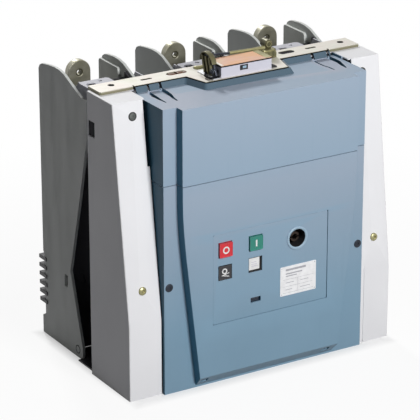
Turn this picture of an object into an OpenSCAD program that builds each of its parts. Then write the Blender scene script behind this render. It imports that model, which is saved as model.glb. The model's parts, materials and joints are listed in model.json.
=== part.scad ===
// Fixed-mounted three-pole vacuum circuit-breaker for indoor switchgear.
// Frame: +Z up, front towards -Y, origin at the centre of the footprint on the floor.
// All dimensions are in millimetres.

/* [Main sizes] */
// Distance between neighbouring pole centres
pole_pitch = 210; // [200:1:230]
// Overall width across the side panels
overall_w = 580; // [570:1:620]
// Width of the front cover
cover_w = 440; // [430:1:460]
// Height of the front cover
cover_h = 560; // [560:1:562]
// Front plane of the raised middle of the cover
face_y = -200; // [-204:1:-198]
// How far the raised middle stands in front of the side bands
face_step = 20; // [16:1:24]
// Rear plane of the mechanism housing
housing_back_y = -27; // [-30:1:-24]

/* [Housing sheet metal] */
// Sheet thickness of the side panels
sheet_t = 2.5; // [2:0.5:3]
// Thickness of the base and back plates
plate_t = 3; // [2:0.5:4]
// Height of the side panels
side_h = 565; // [564:1:566]
// Height at which the front flange starts to lean back
lean_start_z = 150; // [120:5:200]
// How far the flange leans back at its top
lean_back = 53; // [40:1:60]
// Inset of the flange behind the cover's side band at the bottom
flange_inset = 7; // [5:1:10]

/* [Cover] */
// Wall thickness of the moulded cover
cover_t = 3; // [2.5:0.5:4]
// Height of the joint between upper and lower cover
seam_z = 412; // [405:1:420]
// Width of the joint between upper and lower cover
seam_gap = 1.5; // [1:0.5:2]
// Half width of the raised middle at the top
raised_half_top = 191; // [185:1:195]
// Half width of the raised middle at the floor
raised_half_foot = 152; // [148:1:158]
// Height of the bevel along the foot of the raised middle
foot_bevel_z = 25; // [20:1:30]

/* [Control panel] */
// Width of the inset control panel
panel_w = 252; // [248:1:256]
// Lower edge of the inset control panel
panel_z0 = 128; // [124:1:132]
// Upper edge of the inset control panel
panel_z1 = 306; // [304:1:310]
// Size of the square push-buttons
button_w = 28; // [26:1:30]
// Radius of the hand crank opening
crank_r = 20; // [18:1:22]

/* [Crossbar] */
// Length of the crossbar
bar_w = 566; // [556:1:568]
// Depth of the crossbar
bar_d = 47; // [44:1:50]
// Height of the crossbar's top face
bar_top_z = 571; // [571:1:572]
// Front plane of the shelf in the middle of the crossbar
shelf_y = -113; // [-116:1:-110]

/* [Poles] */
// Outer width of a pole shell
shell_w = 132; // [128:1:136]
// Thickness of a shell plate
shell_t = 6; // [5:0.5:7]
// Radius of the vacuum interrupter's ceramic
ceramic_r = 42; // [38:1:42]
// Radius of the terminal bolt holes
terminal_bore_r = 5.5; // [5:0.5:7]
// Width of the flat terminals
terminal_w = 48; // [44:1:50]
// Number of creepage ribs on each rear insulator
rib_count = 6; // [4:1:6]

/* [Hidden] */
round_fn = 48;
side_x = overall_w / 2;
cover_x = cover_w / 2;
band_y = face_y + face_step;
flange_y = band_y + flange_inset;
bend_y = flange_y + lean_back;
foot_w = 26;
bevel_slope = 1.05;
bar_t = 3;
bar_y0 = -64;
bar_hole_xs = [-245, 258];
bar_hole_y = -37;
bar_hole_r = 6.5;
bar_y1 = bar_y0 + bar_d;
roof_rear_y = bar_y0 - 5;
roof_cut_y = shelf_y - 5;
lip_x = 214;
panel_y = face_y + 1;
panel_gap = 0.6;
button_gap = 0.8;
button_depth = 12;
button_out = 3;
terminal_t = 14;
terminal_y = 155;
terminal_hole_z = 538;
lower_hole_z = 214;
interrupter_y = 136;
interrupter_z0 = 262;
interrupter_z1 = 470;
barrier_y = 82;
barrier_t = 6;
barrier_z0 = plate_t;
barrier_z1 = 536;
wall_in = shell_w / 2 - shell_t;
busbar_y = 92;
lower_tab_y = 176;
rib_rear_y = 203;
post_r = 24;
post_zs = [90, 480];
roof_z = cover_h - cover_t;
slit_z = cover_h - 9;
rim_step = 3.4;
flange_notch_z = 440;
bolt_places = [[250, 537], [257, 213]];
lean_angle = atan(lean_back / (side_h - lean_start_z));

function pole_x(i) = (i - 2) * pole_pitch;
function bevel_z(y) = foot_bevel_z - (y - face_y) * bevel_slope;
function lean_y(z) = z < lean_start_z ? flange_y
    : flange_y + lean_back * (z - lean_start_z) / (side_h - lean_start_z);

// A flat shape drawn in x and z, made into a slab that starts at y0 and is t deep.
module upright(y0, t) {
    translate([0, y0 + t, 0]) rotate([90, 0, 0]) linear_extrude(t) children();
}

// A flat shape drawn in y and z, made into a slab that starts at x0 and is t wide.
module sideways(x0, t) {
    translate([x0, 0, 0]) rotate([90, 0, 90]) linear_extrude(t) children();
}

module box(x0, x1, y0, y1, z0, z1) {
    translate([x0, y0, z0]) cube([x1 - x0, y1 - y0, z1 - z0]);
}

module bore_y(x, z, r, y0, y1) {
    translate([x, y1, z]) rotate([90, 0, 0]) cylinder(r = r, h = y1 - y0, $fn = round_fn);
}

// A round bar square to the leaning flange, from d0 to d1 behind its front face.
module lean_bore(x, z, r, d0, d1) {
    translate([x, lean_y(z), z]) rotate([-90 - lean_angle, 0, 0]) translate([0, 0, d0])
        cylinder(r = r, h = d1 - d0, $fn = round_fn);
}

module slot_z(x, y, len, r, z0, z1) {
    for (side = [-1, 1]) {
        translate([x + side * (len / 2 - r), y, z0]) cylinder(r = r, h = z1 - z0, $fn = round_fn);
    }
    box(x - len / 2 + r, x + len / 2 - r, y - r, y + r, z0, z1);
}

// ---- housing ----

// The floor of the housing reaches forward to the inside of the cover.
module base_plate() {
    tongue_x = cover_x - cover_t - 0.3;
    color([0.80, 0.81, 0.83]) {
        box(-side_x + foot_w, side_x - foot_w, flange_y + sheet_t, housing_back_y - plate_t, 0, plate_t);
        box(-tongue_x, tongue_x, band_y + cover_t + 0.3, flange_y + sheet_t, 0, plate_t);
    }
}

// The rear wall and, bent forward from it, the roof between the side panels.
module back_plate() {
    color([0.78, 0.79, 0.81]) {
        box(-side_x + sheet_t, side_x - sheet_t, housing_back_y - plate_t, housing_back_y, sheet_t,
            side_h - sheet_t);
        box(-cover_x - 2, cover_x + 2, bar_y0, housing_back_y, side_h - sheet_t, side_h);
    }
}

module side_panel(side) {
    wall = [[flange_y, 0], [flange_y, lean_start_z], [bend_y, side_h], [housing_back_y, side_h],
        [housing_back_y, 0]];
    flange = [[flange_y, 0], [flange_y, lean_start_z], [bend_y, side_h], [bend_y + sheet_t, side_h],
        [flange_y + sheet_t, lean_start_z], [flange_y + sheet_t, 0]];
    wall_x = side > 0 ? side_x - sheet_t : -side_x;
    strip_x0 = side > 0 ? cover_x + 2 : -side_x;
    strip_w = side_x - cover_x - 2;
    foot_x0 = side > 0 ? side_x - foot_w : -side_x;
    color([0.96, 0.96, 0.97]) difference() {
        union() {
            sideways(wall_x, sheet_t) polygon(wall);
            sideways(strip_x0, strip_w) polygon(flange);
            box(strip_x0, strip_x0 + strip_w, bend_y, housing_back_y, side_h - sheet_t, side_h);
            box(foot_x0, foot_x0 + foot_w, flange_y, housing_back_y, 0, sheet_t);
        }
        for (hole = bolt_places) {
            lean_bore(side * hole[0], hole[1], 5, -5, sheet_t + 4);
        }
        for (x = bar_hole_xs) {
            translate([x, bar_hole_y, side_h - 6]) cylinder(r = bar_hole_r + 1, h = 10, $fn = round_fn);
        }
        box(side > 0 ? strip_x0 - 1 : -cover_x - 7, side > 0 ? cover_x + 7 : -cover_x - 1, flange_y - 1,
            bend_y + sheet_t, flange_notch_z, side_h + 1);
    }
}

module left_side_panel() {
    side_panel(-1);
}

module right_side_panel() {
    side_panel(1);
}

module crossbar() {
    deck = [[-bar_w / 2, bar_y0], [-102, bar_y0], [-89, shelf_y], [89, shelf_y], [102, bar_y0],
        [bar_w / 2, bar_y0], [bar_w / 2, bar_y1], [-bar_w / 2, bar_y1]];
    color([0.93, 0.91, 0.84]) difference() {
        union() {
            translate([0, 0, bar_top_z - bar_t]) linear_extrude(bar_t) polygon(deck);
            for (side = [-1, 1]) {
                box(side > 0 ? lip_x : 3 - bar_w / 2, side > 0 ? bar_w / 2 - 3 : -lip_x, bar_y0, bar_y0 + bar_t,
                    side_h, bar_top_z);
                box(side > 0 ? bar_w / 2 - bar_t : -bar_w / 2, side > 0 ? bar_w / 2 : bar_t - bar_w / 2,
                    bar_y0 + 6, bar_y1, side_h, bar_top_z);
            }
            box(-bar_w / 2, bar_w / 2, bar_y1 - bar_t, bar_y1, side_h, bar_top_z);
        }
        for (x = bar_hole_xs) {
            translate([x, bar_hole_y, side_h]) cylinder(r = bar_hole_r, h = 20, $fn = round_fn);
        }
        slot_z(-173, -40, 24, 3.5, side_h, bar_top_z + 1);
        slot_z(189, -38, 24, 3.5, side_h, bar_top_z + 1);
        slot_z(-107, -37, 42, 8, side_h, bar_top_z + 1);
        slot_z(-50, -33, 34, 8, side_h, bar_top_z + 1);
        slot_z(135, -37, 34, 8, side_h, bar_top_z + 1);
    }
}

// ---- cover ----

// Outline of the raised middle, drawn in x and z; inset keeps it inside a wall.
module raised_outline(z0, z1, inset) {
    right = [[raised_half_top, 390], [190.5, 360], [189, 330], [186.5, 300], [183.5, 270],
        [raised_half_foot, 0]];
    side_points = concat([[raised_half_top, cover_h]], right);
    intersection() {
        polygon(concat([for (p = side_points) [p[0] - inset, p[1]]],
            [for (i = [len(side_points) - 1:-1:0]) [inset - side_points[i][0], side_points[i][1]]]));
        translate([-cover_x, z0]) square([cover_w, z1 - z0]);
    }
}

// The raised middle as a block whose foot is bevelled back to the side bands.
module raised_block(z0, z1, inset) {
    rise = inset * sqrt(1 + bevel_slope * bevel_slope);
    front = face_y + inset;
    back = band_y + cover_t + 1;
    intersection() {
        upright(front, back - front) raised_outline(z0, z1, inset);
        sideways(-cover_x, cover_w) polygon([[front, bevel_z(front) + rise], [back, bevel_z(back) + rise],
            [back, cover_h + 1], [front, cover_h + 1]]);
    }
}

// The cover's front and sides between two heights, as a shell open at the back.
module cover_shell(z0, z1, top) {
    roof = top ? cover_t : 0;
    difference() {
        union() {
            box(-cover_x, cover_x, band_y, bend_y - 1, z0, z1);
            raised_block(z0, z1, 0);
        }
        box(-cover_x + cover_t, cover_x - cover_t, band_y + cover_t, bend_y, z0 - 1, z1 - roof);
        raised_block(z0 - 1, z1 - roof, cover_t);
        for (side = [-1, 1]) {
            sideways(side > 0 ? cover_x - cover_t - 1 : -cover_x - 1, cover_t + 2)
                polygon([[lean_y(z0) - 0.3, z0 - 1], [lean_y(z0) - 0.3, z0], [lean_y(lean_start_z) - 0.3,
                    max(z0, lean_start_z)], [lean_y(z1) - 0.3, z1], [bend_y + 60, z1 + 1],
                    [bend_y + 60, z0 - 1]]);
        }
    }
}

// Two slits on each side free a latch tongue in the roof.
slit_plans = [
    [[-190, -76], [-183, -76], [-185, -92], [-187, -108], [-190, -126], [-191.5, -146], [-194, -146],
        [-197, -122], [-198, -104], [-195, -86]],
    [[-165, -76], [-157.5, -76], [-158, -92], [-160.5, -112], [-166, -130], [-168.5, -146], [-171, -146],
        [-170, -130], [-166.5, -112], [-165.5, -92]],
    [[176, -76], [168, -76], [166, -92], [166.5, -112], [169.5, -130], [170.5, -146], [173, -146],
        [175, -130], [173.5, -112], [174, -92]],
    [[203, -76], [210, -76], [211, -92], [210.5, -108], [205, -126], [199.5, -146], [197, -146],
        [199, -126], [203.5, -108], [204.5, -92]]];

module cover_upper() {
    color([0.68, 0.72, 0.80]) difference() {
        union() {
            cover_shell(seam_z + seam_gap, cover_h, true);
            box(-cover_x, cover_x, bend_y - 2, roof_rear_y, roof_z, cover_h);
            box(-201, -154, -150, roof_rear_y, slit_z - cover_t, cover_h);
            box(163, 214, -150, roof_rear_y, slit_z - cover_t, cover_h);
        }
        for (plan = slit_plans) {
            translate([0, 0, slit_z]) linear_extrude(cover_h + 1 - slit_z) polygon(plan);
        }
        box(-92, 92, roof_cut_y, roof_rear_y + 1, roof_z - 1, cover_h + 1);
    }
}

module cover_lower() {
    color([0.45, 0.60, 0.70]) difference() {
        cover_shell(0, seam_z, false);
        box(-panel_w / 2 - panel_gap, panel_w / 2 + panel_gap, face_y - 1, face_y + cover_t + 1,
            panel_z0 - panel_gap, panel_z1 + panel_gap);
        for (x = [-141, 131]) {
            box(x - 8, x + 8, face_y - 1, face_y + 14, 12, 20);
        }
        for (side = [-1, 1]) {
            bore_y(side * 209, 214, 3, band_y - 1, band_y + cover_t + 1);
        }
    }
}

// The plan line of the upstand, d outside the front edge of the crossbar.
function rim_line(d) = [[8 - cover_x, bar_y0 - d], [-102 - 0.77 * d, bar_y0 - d],
    [-89 - 0.72 * d, shelf_y - 1.2 * d], [89 + 0.72 * d, shelf_y - 1.2 * d],
    [102 + 0.77 * d, bar_y0 - d], [cover_x - 8, bar_y0 - d]];
rim_inner = [[cover_x - 8, bar_y0 - 1], [102.8, bar_y0 - 1], [89.7, shelf_y - 1.2],
    [-89.7, shelf_y - 1.2], [-102.8, bar_y0 - 1], [8 - cover_x, bar_y0 - 1]];

// Its face leans back in three steps.
module cover_rim() {
    color([0.32, 0.43, 0.50]) for (k = [0:2]) {
        translate([0, 0, cover_h + k * rim_step]) linear_extrude(rim_step)
            polygon(concat(rim_line(10.5 - 3 * k), rim_inner));
    }
}

// ---- controls ----

module control_panel() {
    color([0.45, 0.61, 0.70]) difference() {
        box(-panel_w / 2, panel_w / 2, panel_y, panel_y + cover_t, panel_z0, panel_z1);
        for (p = [[-100, 274], [-34, 274], [-100, 228], [-34, 230]]) {
            box(p[0] - button_w / 2 - button_gap, p[0] + button_w / 2 + button_gap, panel_y - 1,
                panel_y + cover_t + 1, p[1] - button_w / 2 - button_gap, p[1] + button_w / 2 + button_gap);
        }
        box(-44, -22, panel_y - 1, panel_y + cover_t + 1, 154, 164);
        bore_y(58, 264, crank_r, panel_y - 1, panel_y + cover_t + 1);
    }
}

// A square push-button with a raised sign on its cap.
module button_cap(x, z) {
    box(x - button_w / 2, x + button_w / 2, face_y - button_out, face_y - button_out + button_depth,
        z - button_w / 2, z + button_w / 2);
}

module off_button() {
    color([0.84, 0.10, 0.15]) button_cap(-100, 274);
}

module on_button() {
    color([0.08, 0.50, 0.44]) button_cap(-34, 274);
}

module indicator(x, z, recess) {
    half = button_w / 2 + button_gap;
    union() {
        box(x - half - 3, x + half + 3, panel_y + cover_t, panel_y + cover_t + 6, z - half - 3, z + half + 3);
        box(x - half + 1, x + half - 1, panel_y + recess, panel_y + cover_t + 1, z - half + 1, z + half - 1);
    }
}

module spring_indicator() {
    color([0.05, 0.05, 0.06]) indicator(-100, 228, -1);
}

module position_indicator() {
    color([0.93, 0.93, 0.92]) indicator(-34, 230, 2);
}

module counter_window() {
    color([0.03, 0.06, 0.10]) box(-47, -19, panel_y + cover_t, panel_y + cover_t + 5, 151, 167);
}

module crank_bezel() {
    color([0.60, 0.70, 0.78]) difference() {
        union() {
            bore_y(58, 264, crank_r + 3, panel_y - 2, panel_y);
            bore_y(58, 264, crank_r - 0.3, panel_y - 2, panel_y + 40);
        }
        bore_y(58, 264, crank_r - 2, panel_y - 3, panel_y + 37);
    }
}

module crank_coupling() {
    color([0.16, 0.13, 0.12]) difference() {
        union() {
            bore_y(58, 264, 11, panel_y + 8, panel_y + 36);
            bore_y(58, 264, 4, panel_y + 35, panel_y + 36.5);
        }
        bore_y(58, 264, 6, panel_y + 7, panel_y + 28);
    }
}

module rating_plate() {
    color([0.95, 0.95, 0.96]) box(21, 101, panel_y - 0.8, panel_y, 152, 211);
}

module cover_screws() {
    color([0.16, 0.18, 0.22]) for (side = [-1, 1]) {
        bore_y(side * 209, 214, 8, band_y - 2, band_y);
    }
}

module side_panel_bolts() {
    color([0.45, 0.45, 0.33]) for (side = [-1, 1]) {
        for (place = bolt_places) {
            lean_bore(side * place[0], place[1], 8, -4, 0);
            lean_bore(side * place[0], place[1], 4.7, -1, sheet_t + 4);
        }
    }
}

// ---- gear on top of the housing ----

module pole_carrier() {
    gusset = [[housing_back_y, 537], [0, 528], [58, 528], [70, 534], [58, 553], [housing_back_y, 553]];
    color([0.80, 0.80, 0.84]) {
        difference() {
            union() {
                box(-262, 262, housing_back_y, 12, 553, 556);
                for (i = [1:3]) box(pole_x(i) - 58, pole_x(i) + 5, 11, 48, 553, 556);
            }
            for (i = [1:3]) {
                translate([pole_x(i) - 42, 26, 552]) cylinder(r = 9, h = 5, $fn = round_fn);
                translate([pole_x(i) - 18, 37, 552]) cylinder(r = 4.5, h = 5, $fn = round_fn);
            }
        }
        for (x = [-262, -141, -57, 54, 138, 259]) {
            sideways(x, plate_t) polygon(gusset);
        }
        box(-284, 284, housing_back_y, 38, 0, plate_t);
        box(-284, 284, housing_back_y, housing_back_y + plate_t, 0, 24);
        for (i = [1:3]) box(pole_x(i) - 59, pole_x(i) + 59, 37, barrier_y - 1, 0, plate_t);
    }
}

module plug_box() {
    color([0.83, 0.83, 0.87]) difference() {
        box(-54, 56, shelf_y + 4, shelf_y + 51, bar_top_z, bar_top_z + 22);
        box(-13, 4, shelf_y + 3, shelf_y + 8, bar_top_z + 9, bar_top_z + 18.5);
    }
}

module plug_box_lid() {
    color([0.93, 0.74, 0.58]) box(-54, 56, shelf_y + 4, shelf_y + 51, bar_top_z + 22, bar_top_z + 24);
}

module trip_lever() {
    color([0.38, 0.38, 0.20]) {
        box(-72, -56, shelf_y + 2, shelf_y + 57, bar_top_z, bar_top_z + 2.5);
        box(-64, -60, shelf_y + 5, shelf_y + 51, bar_top_z, bar_top_z + 29);
        sideways(-68, 10) polygon([[-100, 598], [-96, 606], [-87, 613], [-74, 616], [-63, 613], [-56, 606],
            [-54, 598]]);
    }
}

module latch_bracket() {
    color([0.60, 0.58, 0.42]) {
        box(72, 103, -53, -50, bar_top_z, bar_top_z + 16);
        box(72, 75, -53, -22, bar_top_z, bar_top_z + 16);
        box(100, 103, -53, -22, bar_top_z, bar_top_z + 16);
        box(72, 103, -53, -22, bar_top_z + 13, bar_top_z + 16);
    }
}

module latch_knob() {
    color([0.12, 0.12, 0.12]) {
        bore_y(90, bar_top_z + 25.5, 8.5, -48, -26);
        box(85, 95, -46, -28, bar_top_z + 16, bar_top_z + 21);
    }
}

// ---- poles ----

// Outline of a shell plate; the plate on the right of each pole ends further forward.
module shell_profile(side) {
    rear = side > 0 ? [[150, 563.5], [160, 561], [168, 556], [172, 548], [172, 186]]
        : [[150, 563.5], [175, 559.5], [184, 555], [189, 547], [189, 176]];
    polygon(concat([[42, 0], [34, 8], [35, 27], [78, 170], [35, 330], [3, 458], [1, 535], [24, 535],
        [60, 550], [88, 562], [105, 565.5], [125, 566]], rear, [[184, 167], [184, 44], [196, 37], [196, 0]]));
}

module pole_shell(i) {
    color([0.42, 0.43, 0.43]) for (side = [-1, 1]) {
        difference() {
            union() {
                sideways(side > 0 ? pole_x(i) + shell_w / 2 - shell_t : pole_x(i) - shell_w / 2, shell_t)
                    shell_profile(side);
                box(side > 0 ? pole_x(i) + 54 : pole_x(i) - 60, side > 0 ? pole_x(i) + 60 : pole_x(i) - 54,
                    98, 171, 190, 552);
            }
            box(pole_x(i) + side * 63 - 8, pole_x(i) + side * 63 + 8, 90, 102, 132, 156);
        }
    }
}

module pole_barrier(i) {
    color([0.05, 0.05, 0.06]) box(pole_x(i) - wall_in, pole_x(i) + wall_in, barrier_y,
        barrier_y + barrier_t, barrier_z0, barrier_z1);
}

// Two ribbed posts carry each pole on the rear wall of the housing.
module post_insulators() {
    color([0.05, 0.05, 0.06]) for (i = [1:3]) {
        for (z = post_zs) {
            bore_y(pole_x(i), z, post_r, housing_back_y, barrier_y);
            for (y = [-6, 14, 34, 54]) {
                bore_y(pole_x(i), z, post_r + 8, y, y + 6);
            }
        }
    }
}

// A block between the shell walls with creepage ribs that reach past them.
module rear_insulator(i) {
    color([0.04, 0.04, 0.05]) difference() {
        union() {
            box(pole_x(i) - wall_in + 0.3, pole_x(i) + wall_in - 0.3, 150, 190, 44, 172);
            for (k = [0:rib_count - 1]) {
                box(pole_x(i) - shell_w / 2 - 2, pole_x(i) + shell_w / 2 + 2, 174, rib_rear_y, 156 - 18 * k,
                    164 - 18 * k);
            }
        }
        for (side = [-1, 1]) {
            box(side > 0 ? pole_x(i) + wall_in - 0.3 : pole_x(i) - shell_w / 2 - 0.3,
                side > 0 ? pole_x(i) + shell_w / 2 + 0.3 : pole_x(i) - wall_in + 0.3, 140, 184.3, 40, 175);
        }
    }
}

// Stem, end caps and ceramic, each as far from both ends as its second number.
module interrupter(i) {
    color([0.90, 0.88, 0.84]) translate([pole_x(i), interrupter_y, 0]) {
        for (step = [[14, 0], [34, 12], [ceramic_r, 22]]) {
            translate([0, 0, interrupter_z0 + step[1]])
                cylinder(r = step[0], h = interrupter_z1 - interrupter_z0 - 2 * step[1], $fn = round_fn);
        }
    }
}

module upper_terminal(i) {
    x0 = pole_x(i);
    color([0.42, 0.41, 0.36]) difference() {
        union() {
            box(x0 - terminal_w / 2, x0 + terminal_w / 2, busbar_y, terminal_y + terminal_t / 2,
                interrupter_z1, interrupter_z1 + 16);
            box(x0 - terminal_w / 2, x0 + terminal_w / 2, terminal_y - terminal_t / 2,
                terminal_y + terminal_t / 2, interrupter_z1, terminal_hole_z);
            bore_y(x0, terminal_hole_z, terminal_w / 2, terminal_y - terminal_t / 2, terminal_y + terminal_t / 2);
        }
        bore_y(x0, terminal_hole_z, terminal_bore_r, terminal_y - 20, terminal_y + 20);
    }
}

module lower_terminal(i) {
    x0 = pole_x(i);
    tab_end = lower_tab_y + terminal_t;
    color([0.42, 0.41, 0.36]) difference() {
        union() {
            box(x0 - terminal_w / 2, x0 + terminal_w / 2, busbar_y, tab_end, interrupter_z0 - 16,
                interrupter_z0);
            box(x0 - terminal_w / 2, x0 + terminal_w / 2, lower_tab_y, tab_end, lower_hole_z,
                interrupter_z0);
            bore_y(x0, lower_hole_z, terminal_w / 2, lower_tab_y, tab_end);
        }
        bore_y(x0, lower_hole_z, terminal_bore_r, lower_tab_y - 5, tab_end + 5);
    }
}

// A vertical drive rod and a short lever under each interrupter.
module operating_rods() {
    rod_z0 = 60;
    color([0.30, 0.18, 0.12]) for (i = [1:3]) {
        translate([pole_x(i), interrupter_y, rod_z0])
            cylinder(r = 11, h = interrupter_z0 - 16 - rod_z0, $fn = round_fn);
        box(pole_x(i) - 8, pole_x(i) + 8, barrier_y + barrier_t, interrupter_y, rod_z0 + 4, rod_z0 + 24);
    }
}

base_plate();
back_plate();
left_side_panel();
right_side_panel();
crossbar();
cover_upper();
cover_lower();
cover_rim();
control_panel();
off_button();
on_button();
spring_indicator();
position_indicator();
counter_window();
crank_bezel();
crank_coupling();
rating_plate();
cover_screws();
side_panel_bolts();
pole_carrier();
plug_box();
plug_box_lid();
trip_lever();
latch_bracket();
latch_knob();
operating_rods();
post_insulators();
pole_shell(1);  // pole_shell_1
pole_shell(2);  // pole_shell_2
pole_shell(3);  // pole_shell_3
pole_barrier(1);  // pole_barrier_1
pole_barrier(2);  // pole_barrier_2
pole_barrier(3);  // pole_barrier_3
rear_insulator(1);  // rear_insulator_1
rear_insulator(2);  // rear_insulator_2
rear_insulator(3);  // rear_insulator_3
interrupter(1);  // interrupter_1
interrupter(2);  // interrupter_2
interrupter(3);  // interrupter_3
upper_terminal(1);  // upper_terminal_1
upper_terminal(2);  // upper_terminal_2
upper_terminal(3);  // upper_terminal_3
lower_terminal(1);  // lower_terminal_1
lower_terminal(2);  // lower_terminal_2
lower_terminal(3);  // lower_terminal_3
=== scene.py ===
import bpy, bmesh, json, math
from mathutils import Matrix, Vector


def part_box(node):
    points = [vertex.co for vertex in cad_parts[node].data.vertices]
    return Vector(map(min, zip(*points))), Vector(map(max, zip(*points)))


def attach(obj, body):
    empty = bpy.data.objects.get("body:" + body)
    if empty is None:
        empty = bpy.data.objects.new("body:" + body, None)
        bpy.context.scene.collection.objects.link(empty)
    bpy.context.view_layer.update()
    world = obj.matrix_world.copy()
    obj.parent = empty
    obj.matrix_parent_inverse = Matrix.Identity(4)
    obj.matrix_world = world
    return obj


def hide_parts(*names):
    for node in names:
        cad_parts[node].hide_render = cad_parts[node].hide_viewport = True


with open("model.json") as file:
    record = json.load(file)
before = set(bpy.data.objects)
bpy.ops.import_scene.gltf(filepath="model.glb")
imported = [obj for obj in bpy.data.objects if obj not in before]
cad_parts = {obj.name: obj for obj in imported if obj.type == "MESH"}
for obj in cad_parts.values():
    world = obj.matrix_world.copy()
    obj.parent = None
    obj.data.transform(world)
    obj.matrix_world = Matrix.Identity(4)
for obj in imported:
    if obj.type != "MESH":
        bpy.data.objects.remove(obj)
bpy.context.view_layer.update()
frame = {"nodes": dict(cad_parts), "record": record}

mm = 0.001


# ---- camera first: low telephoto view from the front left ----
cameraSet = {"target": (-0.0298, -0.030, 0.2815), "distance": 4.762, "turn": 31.38, "tilt": 21.22,
             "lens": 214.3}


def placeCamera():
    turn, tilt = math.radians(cameraSet["turn"]), math.radians(cameraSet["tilt"])
    back = Vector((-math.sin(turn) * math.cos(tilt), -math.cos(turn) * math.cos(tilt), math.sin(tilt)))
    bpy.ops.object.camera_add(location=Vector(cameraSet["target"]) + back * cameraSet["distance"])
    camera = bpy.context.object
    camera.name = "frontCamera"
    camera.rotation_euler = (-back).to_track_quat("-Z", "Y").to_euler()
    camera.data.lens = cameraSet["lens"]
    camera.data.sensor_width = 36
    camera.data.clip_end = 60
    bpy.context.scene.camera = camera


placeCamera()
print("camera placed")


# ---- small tools: everything below works in millimetres ----
def freshStart():
    if bpy.context.object and bpy.context.object.mode != "OBJECT":
        bpy.ops.object.mode_set(mode="OBJECT")
    bpy.ops.object.select_all(action="DESELECT")


def take(piece):
    freshStart()
    piece.select_set(True)
    bpy.context.view_layer.objects.active = piece


def settle(name):   # the place goes into the mesh, so a pattern keeps still
    bpy.ops.object.transform_apply(location=True, rotation=True, scale=True)
    piece = bpy.context.object
    piece.name = piece.data.name = name
    return piece


def block(name, low, high):
    freshStart()
    bpy.ops.mesh.primitive_cube_add(size=1, location=[(a + b) / 2 * mm for a, b in zip(low, high)])
    bpy.context.object.scale = [(b - a) * mm for a, b in zip(low, high)]
    return settle(name)


def rod(name, start, end, radius, sides=40, radius2=None):
    freshStart()
    start, end = Vector(start) * mm, Vector(end) * mm
    turned = (end - start).to_track_quat("Z", "Y").to_euler()
    radius2 = radius if radius2 is None else radius2
    bpy.ops.mesh.primitive_cone_add(vertices=sides, radius1=radius * mm, radius2=radius2 * mm,
                                    depth=(end - start).length, location=(start + end) / 2, rotation=turned)
    return settle(name)


def edit(piece):
    take(piece)
    bpy.ops.object.mode_set(mode="EDIT")


def pick(kind, test):   # selects faces (centre, normal), edges (end, end) or points, given in mm
    bpy.ops.mesh.select_mode(type=kind)
    bpy.ops.mesh.select_all(action="DESELECT")
    mesh = bpy.context.object.data
    bm = bmesh.from_edit_mesh(mesh)
    if kind == "FACE":
        for f in bm.faces:
            f.select_set(bool(test(f.calc_center_median() / mm, f.normal)))
    elif kind == "EDGE":
        for e in bm.edges:
            e.select_set(bool(test(e.verts[0].co / mm, e.verts[1].co / mm)))
    else:
        for v in bm.verts:
            v.select_set(bool(test(v.co / mm)))
    bm.select_flush_mode()
    bmesh.update_edit_mesh(mesh)


def pull(x=0, y=0, z=0):   # extrudes what is selected
    bpy.ops.mesh.extrude_region_move(TRANSFORM_OT_translate={"value": (x * mm, y * mm, z * mm)})


def shift(x=0, y=0, z=0):
    bpy.ops.transform.translate(value=(x * mm, y * mm, z * mm))


def leave():
    bpy.ops.object.mode_set(mode="OBJECT")


def allEdges():
    bpy.ops.mesh.select_mode(type="EDGE")
    bpy.ops.mesh.select_all(action="SELECT")


def roundOff(width, segments=4):   # bevels the selected edges
    bpy.ops.mesh.bevel(offset=width * mm, segments=segments, affect="EDGES")


def sink(width, depth):   # the front face of the piece in hand sinks inside a rim of this width
    pick("FACE", lambda c, n: n.y < -0.9)
    bpy.ops.mesh.inset(thickness=width * mm)
    shift(y=depth)
    recalc()


def recalc():
    bpy.ops.mesh.select_all(action="SELECT")
    bpy.ops.mesh.remove_doubles(threshold=0.00002)
    bpy.ops.mesh.normals_make_consistent(inside=False)
    leave()


def trace(name, corners, filled=True):   # a line drawn corner by corner, then filled
    freshStart()
    bpy.ops.mesh.primitive_plane_add(size=mm, location=Vector(corners[0]) * mm)
    piece = settle(name)
    edit(piece)
    bpy.ops.mesh.select_mode(type="VERT")
    bpy.ops.mesh.select_all(action="SELECT")
    bpy.ops.mesh.merge(type="CENTER")
    for a, b in zip(corners, corners[1:]):
        pull(*(Vector(b) - Vector(a)))
    if filled:
        bpy.ops.mesh.select_all(action="SELECT")
        bpy.ops.mesh.edge_face_add()
    return piece


def plate(name, corners, depth):   # a traced outline given its thickness
    piece = trace(name, corners)
    bpy.ops.mesh.select_all(action="SELECT")
    pull(*depth)
    recalc()
    return piece


def modify(piece, kind, **values):
    take(piece)
    step = piece.modifiers.new("step", kind)
    for key, value in values.items():
        setattr(step, key, value)
    bpy.ops.object.modifier_apply(modifier="step")


def thicken(piece, thickness, offset=-1):
    modify(piece, "SOLIDIFY", thickness=thickness * mm, offset=offset, use_even_offset=True)


def soften(piece, width, segments=3, angle=30):
    take(piece)
    bpy.ops.object.shade_smooth()
    modify(piece, "BEVEL", width=width * mm, segments=segments, limit_method="ANGLE",
           angle_limit=math.radians(angle), use_clamp_overlap=True)
    modify(piece, "WEIGHTED_NORMAL", keep_sharp=True, weight=80)


def cut(piece, *tools):
    for tool in tools:
        modify(piece, "BOOLEAN", operation="DIFFERENCE", solver="EXACT", object=tool)
        bpy.data.objects.remove(tool)


def weld(piece, *parts):
    for part in parts:
        modify(piece, "BOOLEAN", operation="UNION", solver="EXACT", object=part)
        bpy.data.objects.remove(part)


def join(name, *parts):
    freshStart()
    for part in parts:
        part.select_set(True)
    bpy.context.view_layer.objects.active = parts[0]
    bpy.ops.object.join()
    parts[0].name = parts[0].data.name = name
    return parts[0]


def cadSize(name):
    low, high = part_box(name)
    return [v / mm for v in low], [v / mm for v in high]


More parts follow.
